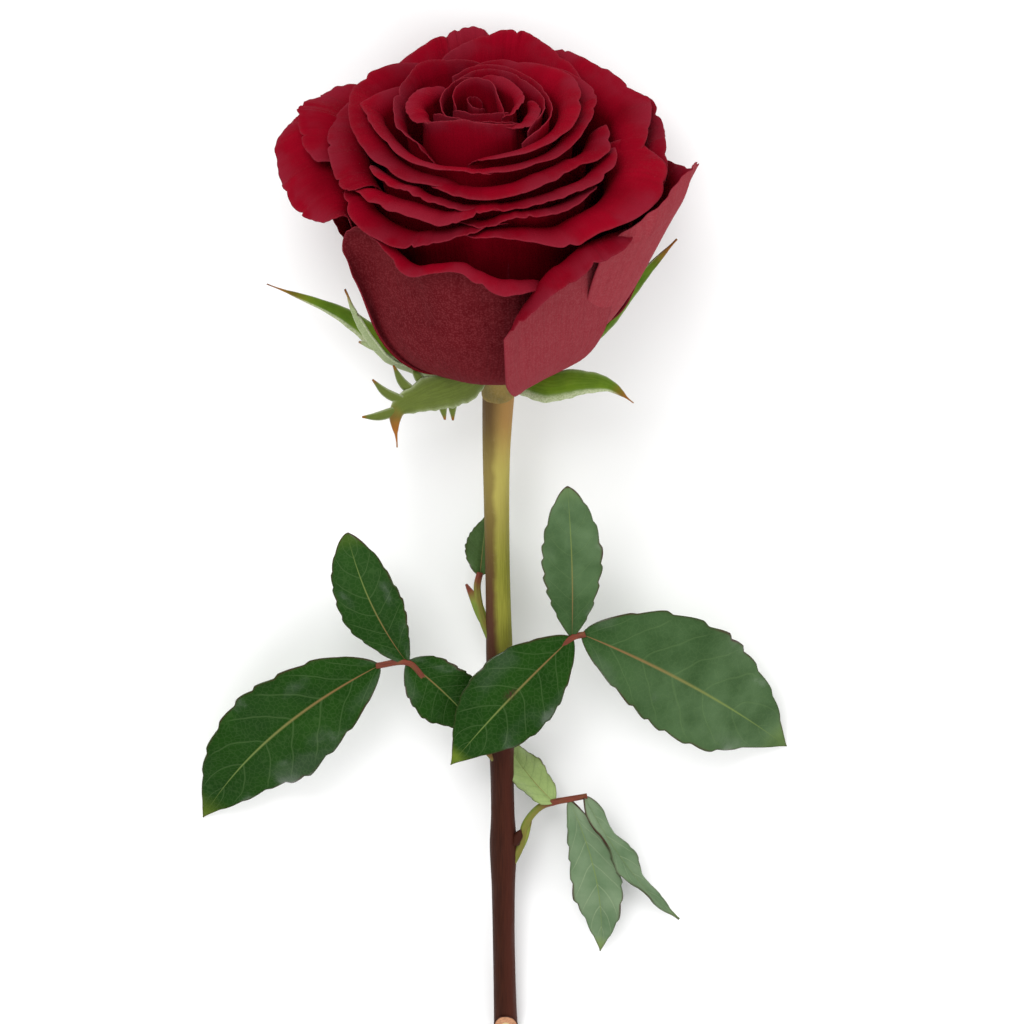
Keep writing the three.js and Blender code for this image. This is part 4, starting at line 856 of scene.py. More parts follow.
class RosePetalSettings(bpy.types.PropertyGroup):
    """Sizes and colours of the petals."""

    columns: count_property("Columns", "Points across a petal", 96, 12, 160)
    body_rows: count_property("Body rows", "Rows below a petal's lip", 24, 6, 80)
    lip_rows: count_property("Lip rows", "Rows over a petal's lip", 30, 6, 80)
    thickness: unit_property("Thickness", "At a petal's root", 0.00055, "LENGTH")
    rim_thickness: unit_property("Rim thickness", "At a petal's rim", 0.0002, "LENGTH")
    front: colour_property("Front", "Upper side in the light", (0.235, 0.0006, 0.0095))
    front_deep: colour_property("Deep front", "Upper side in its darker patches", (0.135, 0.0003, 0.005))
    # painted shade of the deep folds between the petals
    fold: colour_property("Fold", "Deep between the petals", (0.035, 0.0003, 0.001))
    # painted sheen: the lip's greyish velvet sheen
    lip: colour_property("Lip", "Duller band below the rim", (0.19, 0.01, 0.022))
    back: colour_property("Back", "Underside of the outer petals", (0.088, 0.0036, 0.0064))
    back_deep: colour_property("Deep back", "Underside in its darker patches", (0.062, 0.0016, 0.0034))
    back_pale: colour_property("Pale back", "Underside where it is pinkish", (0.26, 0.028, 0.039))
    fleck: colour_property("Flecks", "Fine pale flecks of the underside", (0.3, 0.06, 0.07))
    margin: colour_property("Margin", "Thin edge of the rim", (0.2, 0.02, 0.032))


class RoseLeafSettings(bpy.types.PropertyGroup):
    """Sizes and colours of the leaves and their stalks."""

    rows: count_property("Rows", "Rows along a leaflet", 150, 20, 400)
    columns: count_property("Columns", "Points across a leaflet", 45, 9, 121)
    thickness: unit_property("Thickness", "Of a leaflet", 0.0004, "LENGTH")
    upper: colour_property("Upper side", "Of a leaflet", (0.014, 0.053, 0.0055))
    upper_deep: colour_property("Deep upper side", "In its darker patches", (0.0075, 0.033, 0.0035))
    # painted sheen: the grey cast of a leaflet's upper side
    painted_grey_sheen: colour_property("Greyish upper side", "Where a leaflet has a dull bloom", (0.1, 0.165, 0.078))
    young: colour_property("Young leaflet", "Yellow-green upper side", (0.27, 0.36, 0.13))
    vein: colour_property("Veins", "Net and side veins of the upper side", (0.115, 0.19, 0.07))
    rib: colour_property("Midrib", "Towards the tip", (0.16, 0.22, 0.06))
    rib_root: colour_property("Midrib root", "Near the stalk", (0.23, 0.12, 0.05))
    lower: colour_property("Underside", "Of a leaflet", (0.19, 0.26, 0.155))
    lower_deep: colour_property("Deep underside", "In its darker patches", (0.09, 0.155, 0.075))
    lower_vein: colour_property("Underside veins", "Of a leaflet", (0.27, 0.34, 0.2))
    tip: colour_property("Tip", "Yellow end of a leaflet", (0.2, 0.27, 0.025))
    margin: colour_property("Margin", "Thin edge of a leaflet", (0.05, 0.022, 0.016))
    red: colour_property("Stalk", "Red-brown stalk", (0.19, 0.045, 0.022))
    red_deep: colour_property("Deep stalk", "Darker streaks of the stalk", (0.1, 0.025, 0.016))
    green: colour_property("Green stalk", "Its lower stretch", (0.2, 0.26, 0.04))
    green_deep: colour_property("Deep green stalk", "In its darker patches", (0.12, 0.17, 0.025))


class RoseStemSettings(bpy.types.PropertyGroup):
    """Sizes and colours of the stem."""

    sides: count_property("Sides", "Points round the stem", 56, 12, 160)
    rows: count_property("Rows", "Rings along the stem", 460, 40, 1200)
    bark: colour_property("Bark", "Lower stem", (0.044, 0.0125, 0.0065))
    bark_deep: colour_property("Deep bark", "Darker streaks of the lower stem", (0.026, 0.0075, 0.0042))
    bark_red: colour_property("Red bark", "Reddish right side of the lower stem", (0.072, 0.018, 0.0115))
    green: colour_property("Green", "Upper stem", (0.24, 0.235, 0.036))
    green_deep: colour_property("Deep green", "Streaks of the upper stem", (0.18, 0.18, 0.026))
    green_pale: colour_property("Pale green", "Upper stem towards the neck", (0.44, 0.37, 0.1))
    # partly painted shade on the stem's left side
    blush_and_shade: colour_property("Blush", "Purple-brown side of the upper stem", (0.075, 0.03, 0.016))
    neck: colour_property("Neck", "Just below the bloom", (0.3, 0.13, 0.05))
    pore: colour_property("Pores", "Fine pale pores", (0.36, 0.28, 0.14))
    wood: colour_property("Cut wood", "Of the cut end", (0.62, 0.31, 0.17))
    wood_deep: colour_property("Deep cut wood", "Of the cut end", (0.38, 0.18, 0.09))
    pith: colour_property("Pith", "Middle of the cut end", (0.62, 0.5, 0.27))


class RoseCalyxSettings(bpy.types.PropertyGroup):
    """Sizes and colours of the hip and the sepals."""

    thickness: unit_property("Thickness", "Of a sepal", 0.0005, "LENGTH")
    green: colour_property("Green", "Of the hip and sepals", (0.11, 0.19, 0.01))
    green_deep: colour_property("Deep green", "In their darker patches", (0.055, 0.115, 0.006))
    grey_green: colour_property("Grey-green", "Dull side of a sepal", (0.085, 0.1, 0.018))
    rib: colour_property("Ribs", "Fine lines along a sepal", (0.2, 0.28, 0.045))
    down: colour_property("Down", "Downy edges and insides", (0.45, 0.5, 0.31))
    tip: colour_property("Tip", "Dry tips", (0.32, 0.12, 0.02))
    tip_deep: colour_property("Deep tip", "Darker patches of the dry tips", (0.12, 0.04, 0.012))


class RoseStageSettings(bpy.types.PropertyGroup):
    """The floor, the lights and the camera."""

    floor: colour_property("Floor", "Plain pale floor", (0.92, 0.92, 0.92))
    key_power: unit_property("Key light", "Power of the large soft light", 7.0, "POWER")
    fill_power: unit_property("Fill light", "Power of the side lights", 2.5, "POWER")
    sky: FloatProperty(name="Surround", description="Strength of the even light", default=0.85, min=0, max=5)
    distance: unit_property("Distance", "From the camera to the flower", 1.1, "LENGTH")
    tilt: FloatProperty(
        name="Tilt", description="From straight down towards the bloom", default=math.radians(18),
        subtype="ANGLE",
    )


class RoseSettings(bpy.types.PropertyGroup):
    """All settings of the rose."""

    petals: PointerProperty(type=RosePetalSettings)
    leaves: PointerProperty(type=RoseLeafSettings)
    stem: PointerProperty(type=RoseStemSettings)
    calyx: PointerProperty(type=RoseCalyxSettings)
    stage: PointerProperty(type=RoseStageSettings)


def shared_material(name, build, settings):
    """A material, built the first time."""
    return bpy.data.materials.get(name) or build(settings)


def finish_piece(piece, slot, *nodes):
    """Lets a piece ride on the rose and stand for its CAD nodes. Its finish's name, slot, is not used."""
    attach(piece, "root")
    if nodes:
        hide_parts(*nodes)


# ---- Petals ----

CLAWS = (0.88, 0.42, 0.58)  # a petal's width at its root, by its full width: heart, open and outermost
RIM_SHIFTS = np.array([-0.4, -0.2, 0.0, 0.2, 0.4])  # the neck follows the rim averaged over these
ROOT_RADIUS = (5.4, 0.12)  # a root's distance from the axis at height 0, and what it loses for each mm
HEART_NICK = 0.4  # how deep the heart petals' nicks are, by the others'
GOLDEN = 2.4  # turns each petal's ripples on from the last one's, in radians
MARGIN_MM = 0.35  # the pale margin fades over this distance below the rim
MARGIN_SIDES = 60  # and this steeply from a petal's sides


def lip_path(lean, turn, lip, parts=48):
    """The way over the lip from the neck: steps at the angle lean + turn (1 - (1 - s)^2), summed."""
    s = (np.arange(parts) + 0.5) / parts
    angle = lean + turn[None] * (1 - (1 - s) ** 2)[:, None]
    step = np.stack([np.sin(angle), np.cos(angle)], axis=-1) * (lip / parts)[None, :, None]
    return np.concatenate([np.zeros((1, len(turn), 2)), np.cumsum(step, axis=0)])


def along_lip(path, past):
    """The place on the lip's path, straight between its steps, at the share past of the way over it."""
    place = np.clip(past, 0, 1) * (len(path) - 1)
    step = np.minimum(place.astype(int), len(path) - 2)
    column = np.broadcast_to(np.arange(path.shape[1]), step.shape)
    part = (place - step)[..., None]
    return path[step, column] * (1 - part) + path[step + 1, column] * part


def petal_body(root, belly, neck, lean):
    """A petal's body up to its neck: the shoulder, which makes the cubic curve reach the neck at the
    lean's slope, and the curve's length, as the mean of its control lines' and the straight way's."""
    handle = 0.5 * (neck[:, 1] - root[1])
    shoulder = neck - handle[:, None] * np.array([math.sin(lean), math.cos(lean)])
    polygon = (
        np.linalg.norm(belly - root)
        + np.linalg.norm(shoulder - belly, axis=1)
        + np.linalg.norm(neck - shoulder, axis=1)
    )
    return shoulder, (polygon + np.linalg.norm(neck - root, axis=1)) / 2


def rim_nicks(u, phase, index):
    """How much of its length a petal's rim loses: notches (1 - |sin|)^2 that a slower sine makes deeper
    or shallower, and a fine raggedness."""
    notch = (1 - np.abs(np.sin(3.1 * math.pi * u + phase))) ** 2
    nick = notch * (0.5 + 0.5 * np.sin(2.3 * math.pi * u + 3 * phase))
    fine = 0.07 * np.sin(15 * math.pi * u + phase) * np.sin(4.7 * math.pi * u + 2 * phase)
    return PETAL_NICK * (nick + fine) * (HEART_NICK if index < HEART_END else 1)


def rim_swell(u, phase, edging):
    """The ripples of a petal's edge: two slow sines, with a frill of two fast ones at the very rim."""
    ripple = np.sin(2.3 * math.pi * u + phase) + 0.5 * np.sin(4.1 * math.pi * u + 1.7 * phase)
    frill = 0.16 * np.sin(9.7 * math.pi * u + phase) + 0.1 * np.sin(17.3 * math.pi * u - 2 * phase)
    return edging * ripple + edging**3 * frill * 2


def petal_surface(petal, index, u, w):
    """A petal's middle surface, with its share of the way from root to rim.

    The body is a Bezier curve from the root on the axis round the belly to the neck, the lip's path
    carries on to the rim, and the rim itself is a spline through its own points. The petal widens
    about the axis from its claw, and its edge has ripples and nicks."""
    rim = spline(petal.rim, (u + 1) / 2, even=True)
    nearby = np.clip(u[None] + RIM_SHIFTS[:, None], -1, 1)
    smooth = spline(petal.rim, (nearby + 1) / 2, even=True).mean(0)
    middle = (petal.rim[0][0] + petal.rim[-1][0]) / 2
    lean = math.radians(petal.lean)
    turn = np.radians(across_triple(petal.roll, u)) - lean
    lip = across_triple(petal.lip, u)
    path = lip_path(lean, turn, lip)
    neck = smooth[:, 1:] - path[-1]
    root_z = ROOT_Z[0] + (ROOT_Z[1] - ROOT_Z[0]) * (1 - index / (len(PETALS) - 1)) ** ROOT_CROWDING
    root = np.array([max(ROOT_RADIUS[0] - ROOT_RADIUS[1] * root_z, 1), root_z])
    belly = np.array([petal.body, root_z + 1])
    shoulder, body_length = petal_body(root, belly, neck, lean)
    reach = np.minimum(w, 1)[:, None] * body_length + np.maximum(w - 1, 0)[:, None] * lip
    phase = GOLDEN * index
    reach = reach * (1 - PETAL_CORNER * np.abs(u) ** 6 - rim_nicks(u, phase, index))
    past = (reach - body_length) / lip
    t = np.clip(reach / body_length, 0, 1)[..., None]
    body = (1 - t) ** 3 * root + 3 * (1 - t) ** 2 * t * belly + 3 * (1 - t) * t**2 * shoulder + t**3 * neck
    profile = np.where((past <= 0)[..., None], body, neck + along_lip(path, past))
    share = reach / (body_length + lip)
    edging = np.maximum(0, (share - 0.55) / 0.45) ** 2
    facing = lean + turn * (1 - (1 - np.maximum(0, past)) ** 2)
    swell = petal.wave * rim_swell(u, phase, edging)
    claw = CLAWS[(index >= HEART_END) + (index >= GUARD_START)]
    width = claw + (1 - claw) * smoothstep(share, 0, 0.62)
    azimuth = middle + (rim[:, 0] - middle) * width
    radius = profile[..., 0] + (rim[:, 1] - smooth[:, 1]) * edging + swell * np.cos(facing)
    height = profile[..., 1] + (rim[:, 2] - smooth[:, 2]) * edging - swell * np.sin(facing)
    return on_bloom(azimuth, radius, height), share


# How dull and how pale the outer petals' backs are.
PETAL_LOOKS = {
    "side_right": (0.6, 0.3),
    "droop_left": (0.5, 0.1),
    "low_back": (0.6, 0.1),
    "guard_back_left": (0.9, 0.1),
    "guard_back_right": (0.9, 0.2),
    "guard_back": (0.9, 0.1),
    "guard_left": (1.0, 0.05),
    "guard_flare": (1.0, 1.0),
    "guard_right": (1.0, 0.95),
}


def build_petals(petals, settings):
    """Petals as pieces of their own, each given with its place counted from the heart."""
    material = shared_material("petal_velvet", petal_material, settings)
    u = np.linspace(-1, 1, settings.columns + 1)
    w = np.concatenate([
        np.linspace(0, 1, settings.body_rows, endpoint=False),
        1 + np.linspace(0, 1, settings.lip_rows + 1),
    ])
    root, rim = settings.thickness / MM, settings.rim_thickness / MM
    for index, petal in petals:
        surface, share = petal_surface(petal, index, u, w)
        to_rim = share / np.maximum(share[-1:], 1e-6)
        lip_mm = across_triple(petal.lip, u) * np.maximum(0, 2 - w)[:, None]
        rim_edge = np.exp(-lip_mm / MARGIN_MM) * (w >= 1)[:, None]
        side_edge = np.exp(-(1 - np.abs(u)) * MARGIN_SIDES) * smoothstep(to_rim, 0.3, 0.8)
        dull, pale = PETAL_LOOKS.get(petal.name, (0.0, 0.0))
        shells = Shells()
        shells.add(
            settle(surface), rim + (root - rim) * (1 - to_rim**3), 1,
            reach=to_rim, across=u, tone=(index * 0.618) % 1, edge=np.maximum(rim_edge, side_edge),
            # shade is how dark the painted shade between the petals gets, less in the heart
            dull=dull, pale=pale, shade=0.5 if index < HEART_END else 0.62,
        )
        finish_piece(shells.piece("petal_" + petal.name, [material], floor=0.0), "petal", "bloom")


def build_receptacle(settings):
    """The solid heart that the petals stand on: its profile of radius and height turned round."""
    material = shared_material("petal_velvet", petal_material, settings)
    keys = ("reach", "across", "tone", "edge", "underside", "dull", "pale", "shade")
    rings = turned(CORE, sides=40, steps=60)
    piece = closed_piece("receptacle", rings, [material], dict.fromkeys(keys, 0.0), flip=True)
    finish_piece(piece, "petal", "bloom")


# ---- Calyx ----

SEPAL_LIFT = 0.3  # the lowest that a sepal's middle surface comes
BELLY_GAP = 0.25  # between the petals' underside and the sepals
BELLY_SOFT = 0.35  # over which a sepal turns to follow that underside
SEPAL_ROWS, LOBE_ROWS = 90, 26


def clear_of_belly(points):
    """Lowers points on the bloom's axis to stay under the petals: height z becomes
    zb - s log(1 + exp((zb - z) / s)), where zb is the underside's height at that radius."""
    right, back, along = bloom_axes()
    local = points - BLOOM_BASE
    x, y, z = local @ right, local @ back, local @ along
    belly = np.array(BELLY[:-1], float)
    limit = np.interp(np.hypot(x, y), belly[:, 0], belly[:, 1]) - BELLY_GAP
    lowered = limit - BELLY_SOFT * np.logaddexp(0, (limit - z) / BELLY_SOFT)
    return points + (np.minimum(lowered, z) - z)[..., None] * along


def ribbon(points, half, face, t, u, keel, curl=0.0):
    """A strip along a spline: centre + u half sideways + keel half (1 - u^2) up, with edges that
    curl by curl half u^4."""
    along = tangent(points, t)
    sideways = unit(np.cross(along, face))
    up = np.cross(sideways, along)
    width = half[:, None, None] * u[None, :, None] * sideways[:, None]
    rise = (half[:, None] * (keel * (1 - u**2) + curl * u**4)[None])[..., None] * up[:, None]
    return spline(points, t)[:, None] + width + rise


def sepal_half(sepal, t):
    """half sin(pi (0.16 + 0.9 t)^0.85) + 0.35, a pointed oval."""
    return sepal.half * np.sin(np.pi * np.minimum(1, 0.16 + 0.9 * t) ** 0.85) + 0.35


# How downy each sepal's seen side is, how grey, from where it is brown, and which edge is downy.
SEPAL_LOOKS = {
    "left_long": (0.0, 0.0, 0.93, -1),
    "left_near": (0.6, 0.3, 0.95, 0),
    "front_left": (0.04, 0.95, 0.86, 0),
    "front_right": (0.0, 0.1, 0.9, 1),
    "right_back": (0.0, 0.0, 0.9, 0),
}


def build_sepal(sepal, material, settings):
    """One sepal with its side lobes."""
    downy, grey, brown_from, downy_edge = SEPAL_LOOKS[sepal.name]
    path = on_bloom(*np.array(sepal.line, float).T)
    face = unit(sepal.face)
    t = np.linspace(0, 1, SEPAL_ROWS)
    u = np.linspace(-1, 1, 21)
    half = np.maximum(sepal_half(sepal, t) * (1 - smoothstep(t, 0.9, 1.0) * 0.8), 0.12)
    half = half * (1 + 0.03 * np.sin(37 * t) + 0.02 * np.sin(83 * t))
    shells = Shells()

    def add(middle, t, u, brown):
        edge = np.abs(u)[None] ** 9 * 0.7 + 0.85 * smoothstep(u * downy_edge, 0.45, 0.75)[None]
        shells.add(
            lifted(clear_of_belly(middle), SEPAL_LIFT), settings.thickness / MM, 1, along=t[:, None],
            across=u[None], tint=grey, down=np.clip(downy + edge, 0, 1), brown=brown[:, None],
        )

    blade = ribbon(path, half, face, t, u, 0.25, 0.12)
    add(blade, t, u, smoothstep(t, brown_from - 0.1, brown_from + 0.06))
    for place, side, length, turn in sepal.lobes:
        along = tangent(path, np.array([place]))[0]
        out = unit(np.cross(along, face)) * side
        root = spline(path, np.array([place]))[0]
        tip = root + out * (float(sepal_half(sepal, place)) + length * 0.8) + along * length * turn
        middle = (root + tip) / 2 + along * 0.12 * length
        s = np.linspace(0, 1, LOBE_ROWS)
        thin = 0.12 + 0.95 * np.sin(np.pi * (0.35 + 0.65 * s) ** 1.1) ** 1.2
        lobe = ribbon(np.array([root, middle, tip]), thin, face, s, u[::4], 0.3)
        add(lobe, s, u[::4], smoothstep(s, 0.8, 1.0))
    finish_piece(shells.piece("sepal_" + sepal.name, [material]), "calyx_green", "calyx")


def build_calyx(settings):
    """The hip, a turned profile with five faint ribs, and the five sepals."""
    material = shared_material("calyx_skin", calyx_material, settings)
    rings = turned(HIP, sides=60, steps=80, ribs=0.012)
    rows, sides = rings.shape[:2]
    below = (BLOOM_BASE - rings) @ unit(BLOOM_AXIS)
    values = {
        "along": np.linspace(0, 1, rows)[:, None],
        "across": np.abs(np.linspace(-2, 2, sides)),
        "tint": 0.0,
        "down": 0.38 * smoothstep(below, 1.5, 6),
        "brown": 0.6 * smoothstep(below, 1.5, 7),
    }
    hip = closed_piece("hip", rings, [material], values, ends={"across": (0, 0)}, flip=True)
    finish_piece(hip, "calyx_green", "calyx")
    for sepal in SEPALS:
        build_sepal(sepal, material, settings)


# ---- Stem ----

RIDGES = (0.012, 0.006)  # heights of the broad and the fine ridges, by the stem's radius
SHARP_FROM = math.radians(50)  # edges that turn by more are sharp, as round the cut
BUD_STATION = -90.0  # the bud has the bark's colour at this place on the stem


def build_stem(settings):
    """The stem: rings round its axis with 5 broad and 11 fine ridges. Points short of the cut's plane,
    where n . p = n . cut, move along the axis onto it."""
    bark = shared_material("bark_skin", stem_material, settings)
    wood = shared_material("cut_wood", cut_material, settings)
    path = [s[:3] for s in STEM]
    shares = np.linspace(0, 1, settings.rows)
    centre, spoke, radius, angle = tube_rings(path, [s[3] for s in STEM], settings.sides, shares)
    ridge = 1 + RIDGES[0] * np.cos(5 * angle + 0.4) + RIDGES[1] * np.cos(11 * angle)
    rings = centre[:, None] + spoke * radius * ridge[None, :, None]
    slant = math.radians(CUT_ANGLE)
    normal = np.array([0, math.cos(slant), -math.sin(slant)])
    along = tangent(path, np.array([0.0]))[0]
    short = (normal @ CUT_AT - rings @ normal) / (along @ normal)
    rings = rings + np.maximum(short, 0)[..., None] * along
    turn = np.abs(angle / math.pi - 1)
    values = {"station": centre[:, 1:2], "left": -spoke[..., 0], "turn": turn, "rim_share": 1.0}
    ends = {"turn": (0, 0), "rim_share": (0, 0)}
    stem = closed_piece("stem_bark", rings, [bark, wood], values, ends, cap=1, floor=0.0)
    stem.data.set_sharp_from_angle(angle=SHARP_FROM)
    finish_piece(stem, "stem_bark", "stem")
    build_bud(bark)


def build_bud(bark):
    """The bud in the lowest leaf's axil: a short tapering cone of rings."""
    tip = BUD_AT + unit(BUD_ALONG) * BUD_LENGTH
    path = [BUD_AT - unit(BUD_ALONG) * 0.6, (BUD_AT + tip) / 2, tip]
    shares = np.linspace(0, 1, 40)
    centre, spoke, radius, angle = tube_rings(path, [BUD_RADIUS, BUD_RADIUS * 0.92, 0.1], 28, shares)
    scale = 1 + 0.05 * np.cos(3 * angle + 9 * shares[:, None])[..., None]
    rings = centre[:, None] + spoke * np.maximum(radius, 0.05) * scale
    values = {"station": BUD_STATION, "left": 0.0, "turn": 0.0, "rim_share": 1.0}
    finish_piece(closed_piece("axil_bud", rings, [bark], values), "stem_bark", "stem")


# ---- Leaves ----

TEETH = 9  # on each side of a leaflet
LEAF_LIFT = 0.25  # the lowest that a leaflet's middle surface comes
GREEN_TO = {"leaf_lower": 0.55, "leaf_upper": 0.75}  # how far up these stalks are green

# Each leaflet's looks: pale is its painted grey sheen, growing towards the tip, and young its
# yellow-green share; teeth and waves are sizes by its half width, blunt rounds its tip, wide is where it
# is widest, skew slims one side near the stalk, narrow scales its width, spot marks a brown fleck, flip
# turns its underside up and gold is how yellow its tip is.
Looks = namedtuple("Looks", "pale young teeth waves blunt wide skew narrow spot flip gold")
LEAFLET_LOOKS = {
    ("leaf_left", 0): Looks(0.0, 0.0, 0.06, 0.14, 0.2, 0.46, 0, 0.85, 0, 0, 0.55),
    ("leaf_left", 1): Looks(0.05, 0.0, 0.05, 0.09, 0.7, 0.54, 0, 0.9, 0, 0, 0.15),
    ("leaf_left", 2): Looks(0.0, 0.0, 0.05, 0.09, 0.6, 0.45, 0, 1, 0, 0, 0.1),
    ("leaf_right", 0): Looks(0.66, 0.0, 0.06, 0.14, 0.2, 0.46, 0.3, 1.0, 0, 0, 0.3),
    ("leaf_right", 1): Looks(0.9, 0.0, 0.08, 0.09, 0.75, 0.54, 0, 0.9, 0, 0, 0.1),
    ("leaf_right", 2): Looks(0.0, 0.0, 0.04, 0.08, 0.1, 0.48, 0, 0.94, 1, 0, 1.0),
    ("leaf_lower", 0): Looks(0.2, 0.0, 0.07, 0.4, 0.2, 0.36, 0, 0.56, 0, 1, 0.5),
    ("leaf_lower", 1): Looks(0.2, 0.0, 0.09, 0.2, 0.1, 0.52, 0, 0.9, 0, 1, 0.6),
    ("leaf_lower", 2): Looks(0.2, 1.0, 0.05, 0.14, 0.3, 0.42, 0, 0.95, 0, 0, 0.3),
    ("leaf_upper", 0): Looks(0.3, 0.1, 0.06, 0.12, 0.3, 0.45, 0, 0.74, 0, 0, 0.3),
}


def bezier(base, bend, tip, v):
    """The quadratic curve (1-v)^2 base + 2 (1-v) v bend + v^2 tip, and its unit tangent."""
    v = v[:, None]
    at = (1 - v) ** 2 * base + 2 * (1 - v) * v * bend + v**2 * tip
    return at, unit(2 * (1 - v) * (bend - base) + 2 * v * (tip - bend))


def leaflet_surface(leaflet, looks, seed, u, v):
    """A leaflet's middle surface: midrib + u half sideways + rise half up.

    half follows 1.05 sin(pi v^k)^(0.7 + (0.5 - 0.75 blunt) v), with k set so that v^k is a half at the
    widest place, times forward-pointing teeth and 1 - skew (1 - v) on one side. rise is the fold |u|
    with edge waves, and on top come a quilt between the side veins and a groove at the midrib."""
    base, tip = np.array(leaflet.base, float), np.array(leaflet.tip, float)
    face = unit(leaflet.face)
    bend = (base + tip) / 2 + np.array([0, 0, 2 * leaflet.arch])
    bend = bend + unit(np.cross(tip - base, face)) * 2 * leaflet.bend
    at, along = bezier(base, bend, tip, v)
    sideways = unit(np.cross(along, face))
    up = np.cross(sideways, along)
    side = np.sign(u)[None]
    a = np.abs(u)[None]
    vv = v[:, None]
    saw = (vv * TEETH + 0.31 * side + 0.35 * np.sin(5 * vv + seed + side)) % 1
    saw = np.where(saw < 0.8, np.sin(saw / 0.8 * math.pi / 2) ** 1.2, (1 - saw) / 0.2)
    tooth = 1 + looks.teeth * (saw - 0.6) * a**3 * smoothstep(vv, 0.02, 0.2)
    shifted = v ** (math.log(0.5) / math.log(looks.wide))
    envelope = 1.05 * np.sin(np.pi * shifted) ** (0.7 + (0.5 - 0.75 * looks.blunt) * v)
    lopsided = 1 - looks.skew * np.maximum(side, 0) * (1 - vv)
    half = np.maximum(leaflet.half * looks.narrow * envelope, 0.12)[:, None] * tooth * lopsided
    rise = leaflet.fold * np.sqrt(a * a + 0.004) + 0.05 * np.sin(9 * vv + 2 * u[None]) * a * a
    rise = rise + looks.waves * a**3 * np.sin(2 * math.pi * (2.6 * vv + 0.23 * side + 0.13 * seed))
    quilt = 0.5 - 0.5 * np.cos(2 * math.pi * (vv - VEIN_SLANT * a**VEIN_BEND) * SIDE_VEINS)
    lift = 0.07 * quilt * (1 - a**6) * np.sqrt(np.maximum(envelope, 0))[:, None] * smoothstep(a, 0.02, 0.3)
    groove = -0.28 * np.exp(-((a * half / 0.55) ** 2)) * smoothstep(1 - vv, 0.0, 0.3)
    surface = at[:, None] + sideways[:, None] * (u[None] * half)[..., None]
    return surface + up[:, None] * (rise * half + lift + groove)[..., None], half


def build_leaflets(leaf, settings):
    """A leaf's leaflets as one piece of toothed, veined blades."""
    material = shared_material("leaf_skin", leaf_material, settings)
    u = np.linspace(-1, 1, settings.columns)
    u = np.sign(u) * np.abs(u) ** 0.9
    v = np.linspace(0, 1, settings.rows)
    shells = Shells()
    for number, leaflet in enumerate(leaf.leaflets):
        looks = LEAFLET_LOOKS[leaf.name, number]
        surface, half = leaflet_surface(leaflet, looks, number * 1.7 + len(leaf.name), u, v)
        spot = looks.spot * np.exp(-(((u[None] - 0.06) / 0.09) ** 2) - ((v[:, None] - 0.46) / 0.035) ** 2)
        inset = (1 - np.abs(u))[None] * half
        edge = np.maximum(np.exp(-((inset / 0.24) ** 2)), smoothstep(v, 0.985, 1.0)[:, None])
        # the painted grey sheen, stronger towards the tip
        pale = np.clip(looks.pale * (0.3 + 1.1 * v[:, None]), 0, 1)
        shells.add(
            lifted(surface, LEAF_LIFT), settings.thickness / MM, looks.flip, along=v[:, None],
            across=u[None], pale=pale, young=looks.young, spot=spot, edge=edge, gold=looks.gold,
        )
    piece = shells.piece(leaf.name + "_blades", [material], floor=0.0)
    finish_piece(piece, "leaf_green", leaf.name)


def build_stalk(leaf, settings):
    """A leaf's stalk: rings along its path with a channel on top, and its pointed wing."""
    material = shared_material("stalk_skin", stalk_material, settings)
    path = np.array(leaf.petiole, float)
    radii = [PETIOLE_RADIUS * (1 - 0.06 * k if k else 1.5) for k in range(len(path))]
    shares = np.linspace(0.02, 1, 120)
    centre, spoke, radius, angle = tube_rings(path, radii, 24, shares)
    channel = 1 - 0.22 * np.exp(-(((angle - math.pi / 2) / 0.45) ** 2))[None, :, None]
    rings = centre[:, None] + spoke * np.maximum(radius, 0.2) * channel
    green_to = GREEN_TO.get(leaf.name, 0.12)
    redder_above = 0.35 * np.sin(angle)[None]
    red = np.clip(smoothstep(shares, green_to - 0.15, green_to + 0.2)[:, None] + redder_above, 0, 1)
    values = {"along": shares[:, None], "turn": np.abs(angle / math.pi - 1), "red": red}
    ends = {"along": (0, 1), "turn": (0, 0), "red": red[[0, -1], 0]}
    piece = closed_piece(leaf.name + "_stalk", rings, [material], values, ends)
    finish_piece(piece, "stem_bark", leaf.name)
    build_stipule(leaf, material)


def build_stipule(leaf, material):
    """The pointed wing at the stalk's foot."""
    first, second = (np.array(p, float) for p in leaf.petiole[1:3])
    along = unit(second - first)
    out = unit(leaf.stipule)
    path = np.array([first, first + along * 3 + out * 1.2, first + along * 5 + out * 4.2])
    t = np.linspace(0, 1, 40)
    u = np.linspace(-1, 1, 9)
    half = np.maximum(0.3 + 0.9 * np.sin(np.pi * (0.2 + 0.75 * t)) - 0.25 * t, 0.08)
    middle = ribbon(path, half, np.array([0, 0, 1.0]), t, u, 0.2)
    shells = Shells()
    red = smoothstep(t, 0.5, 0.95)[:, None]
    shells.add(middle, STIPULE_THICKNESS, 0, along=t[:, None], turn=np.abs(u)[None], red=red)
    piece = shells.piece(leaf.name + "_stipule", [material], floor=0.0)
    finish_piece(piece, "stem_bark", leaf.name)


# ---- Stage ----

FLOOR_HALF = 4.0  # metres
FLOOR_Z = -0.00008  # just under the flower


def add_object(name, data):
    """An object in the scene."""
    made = bpy.data.objects.new(name, data)
    bpy.context.scene.collection.objects.link(made)
    return made


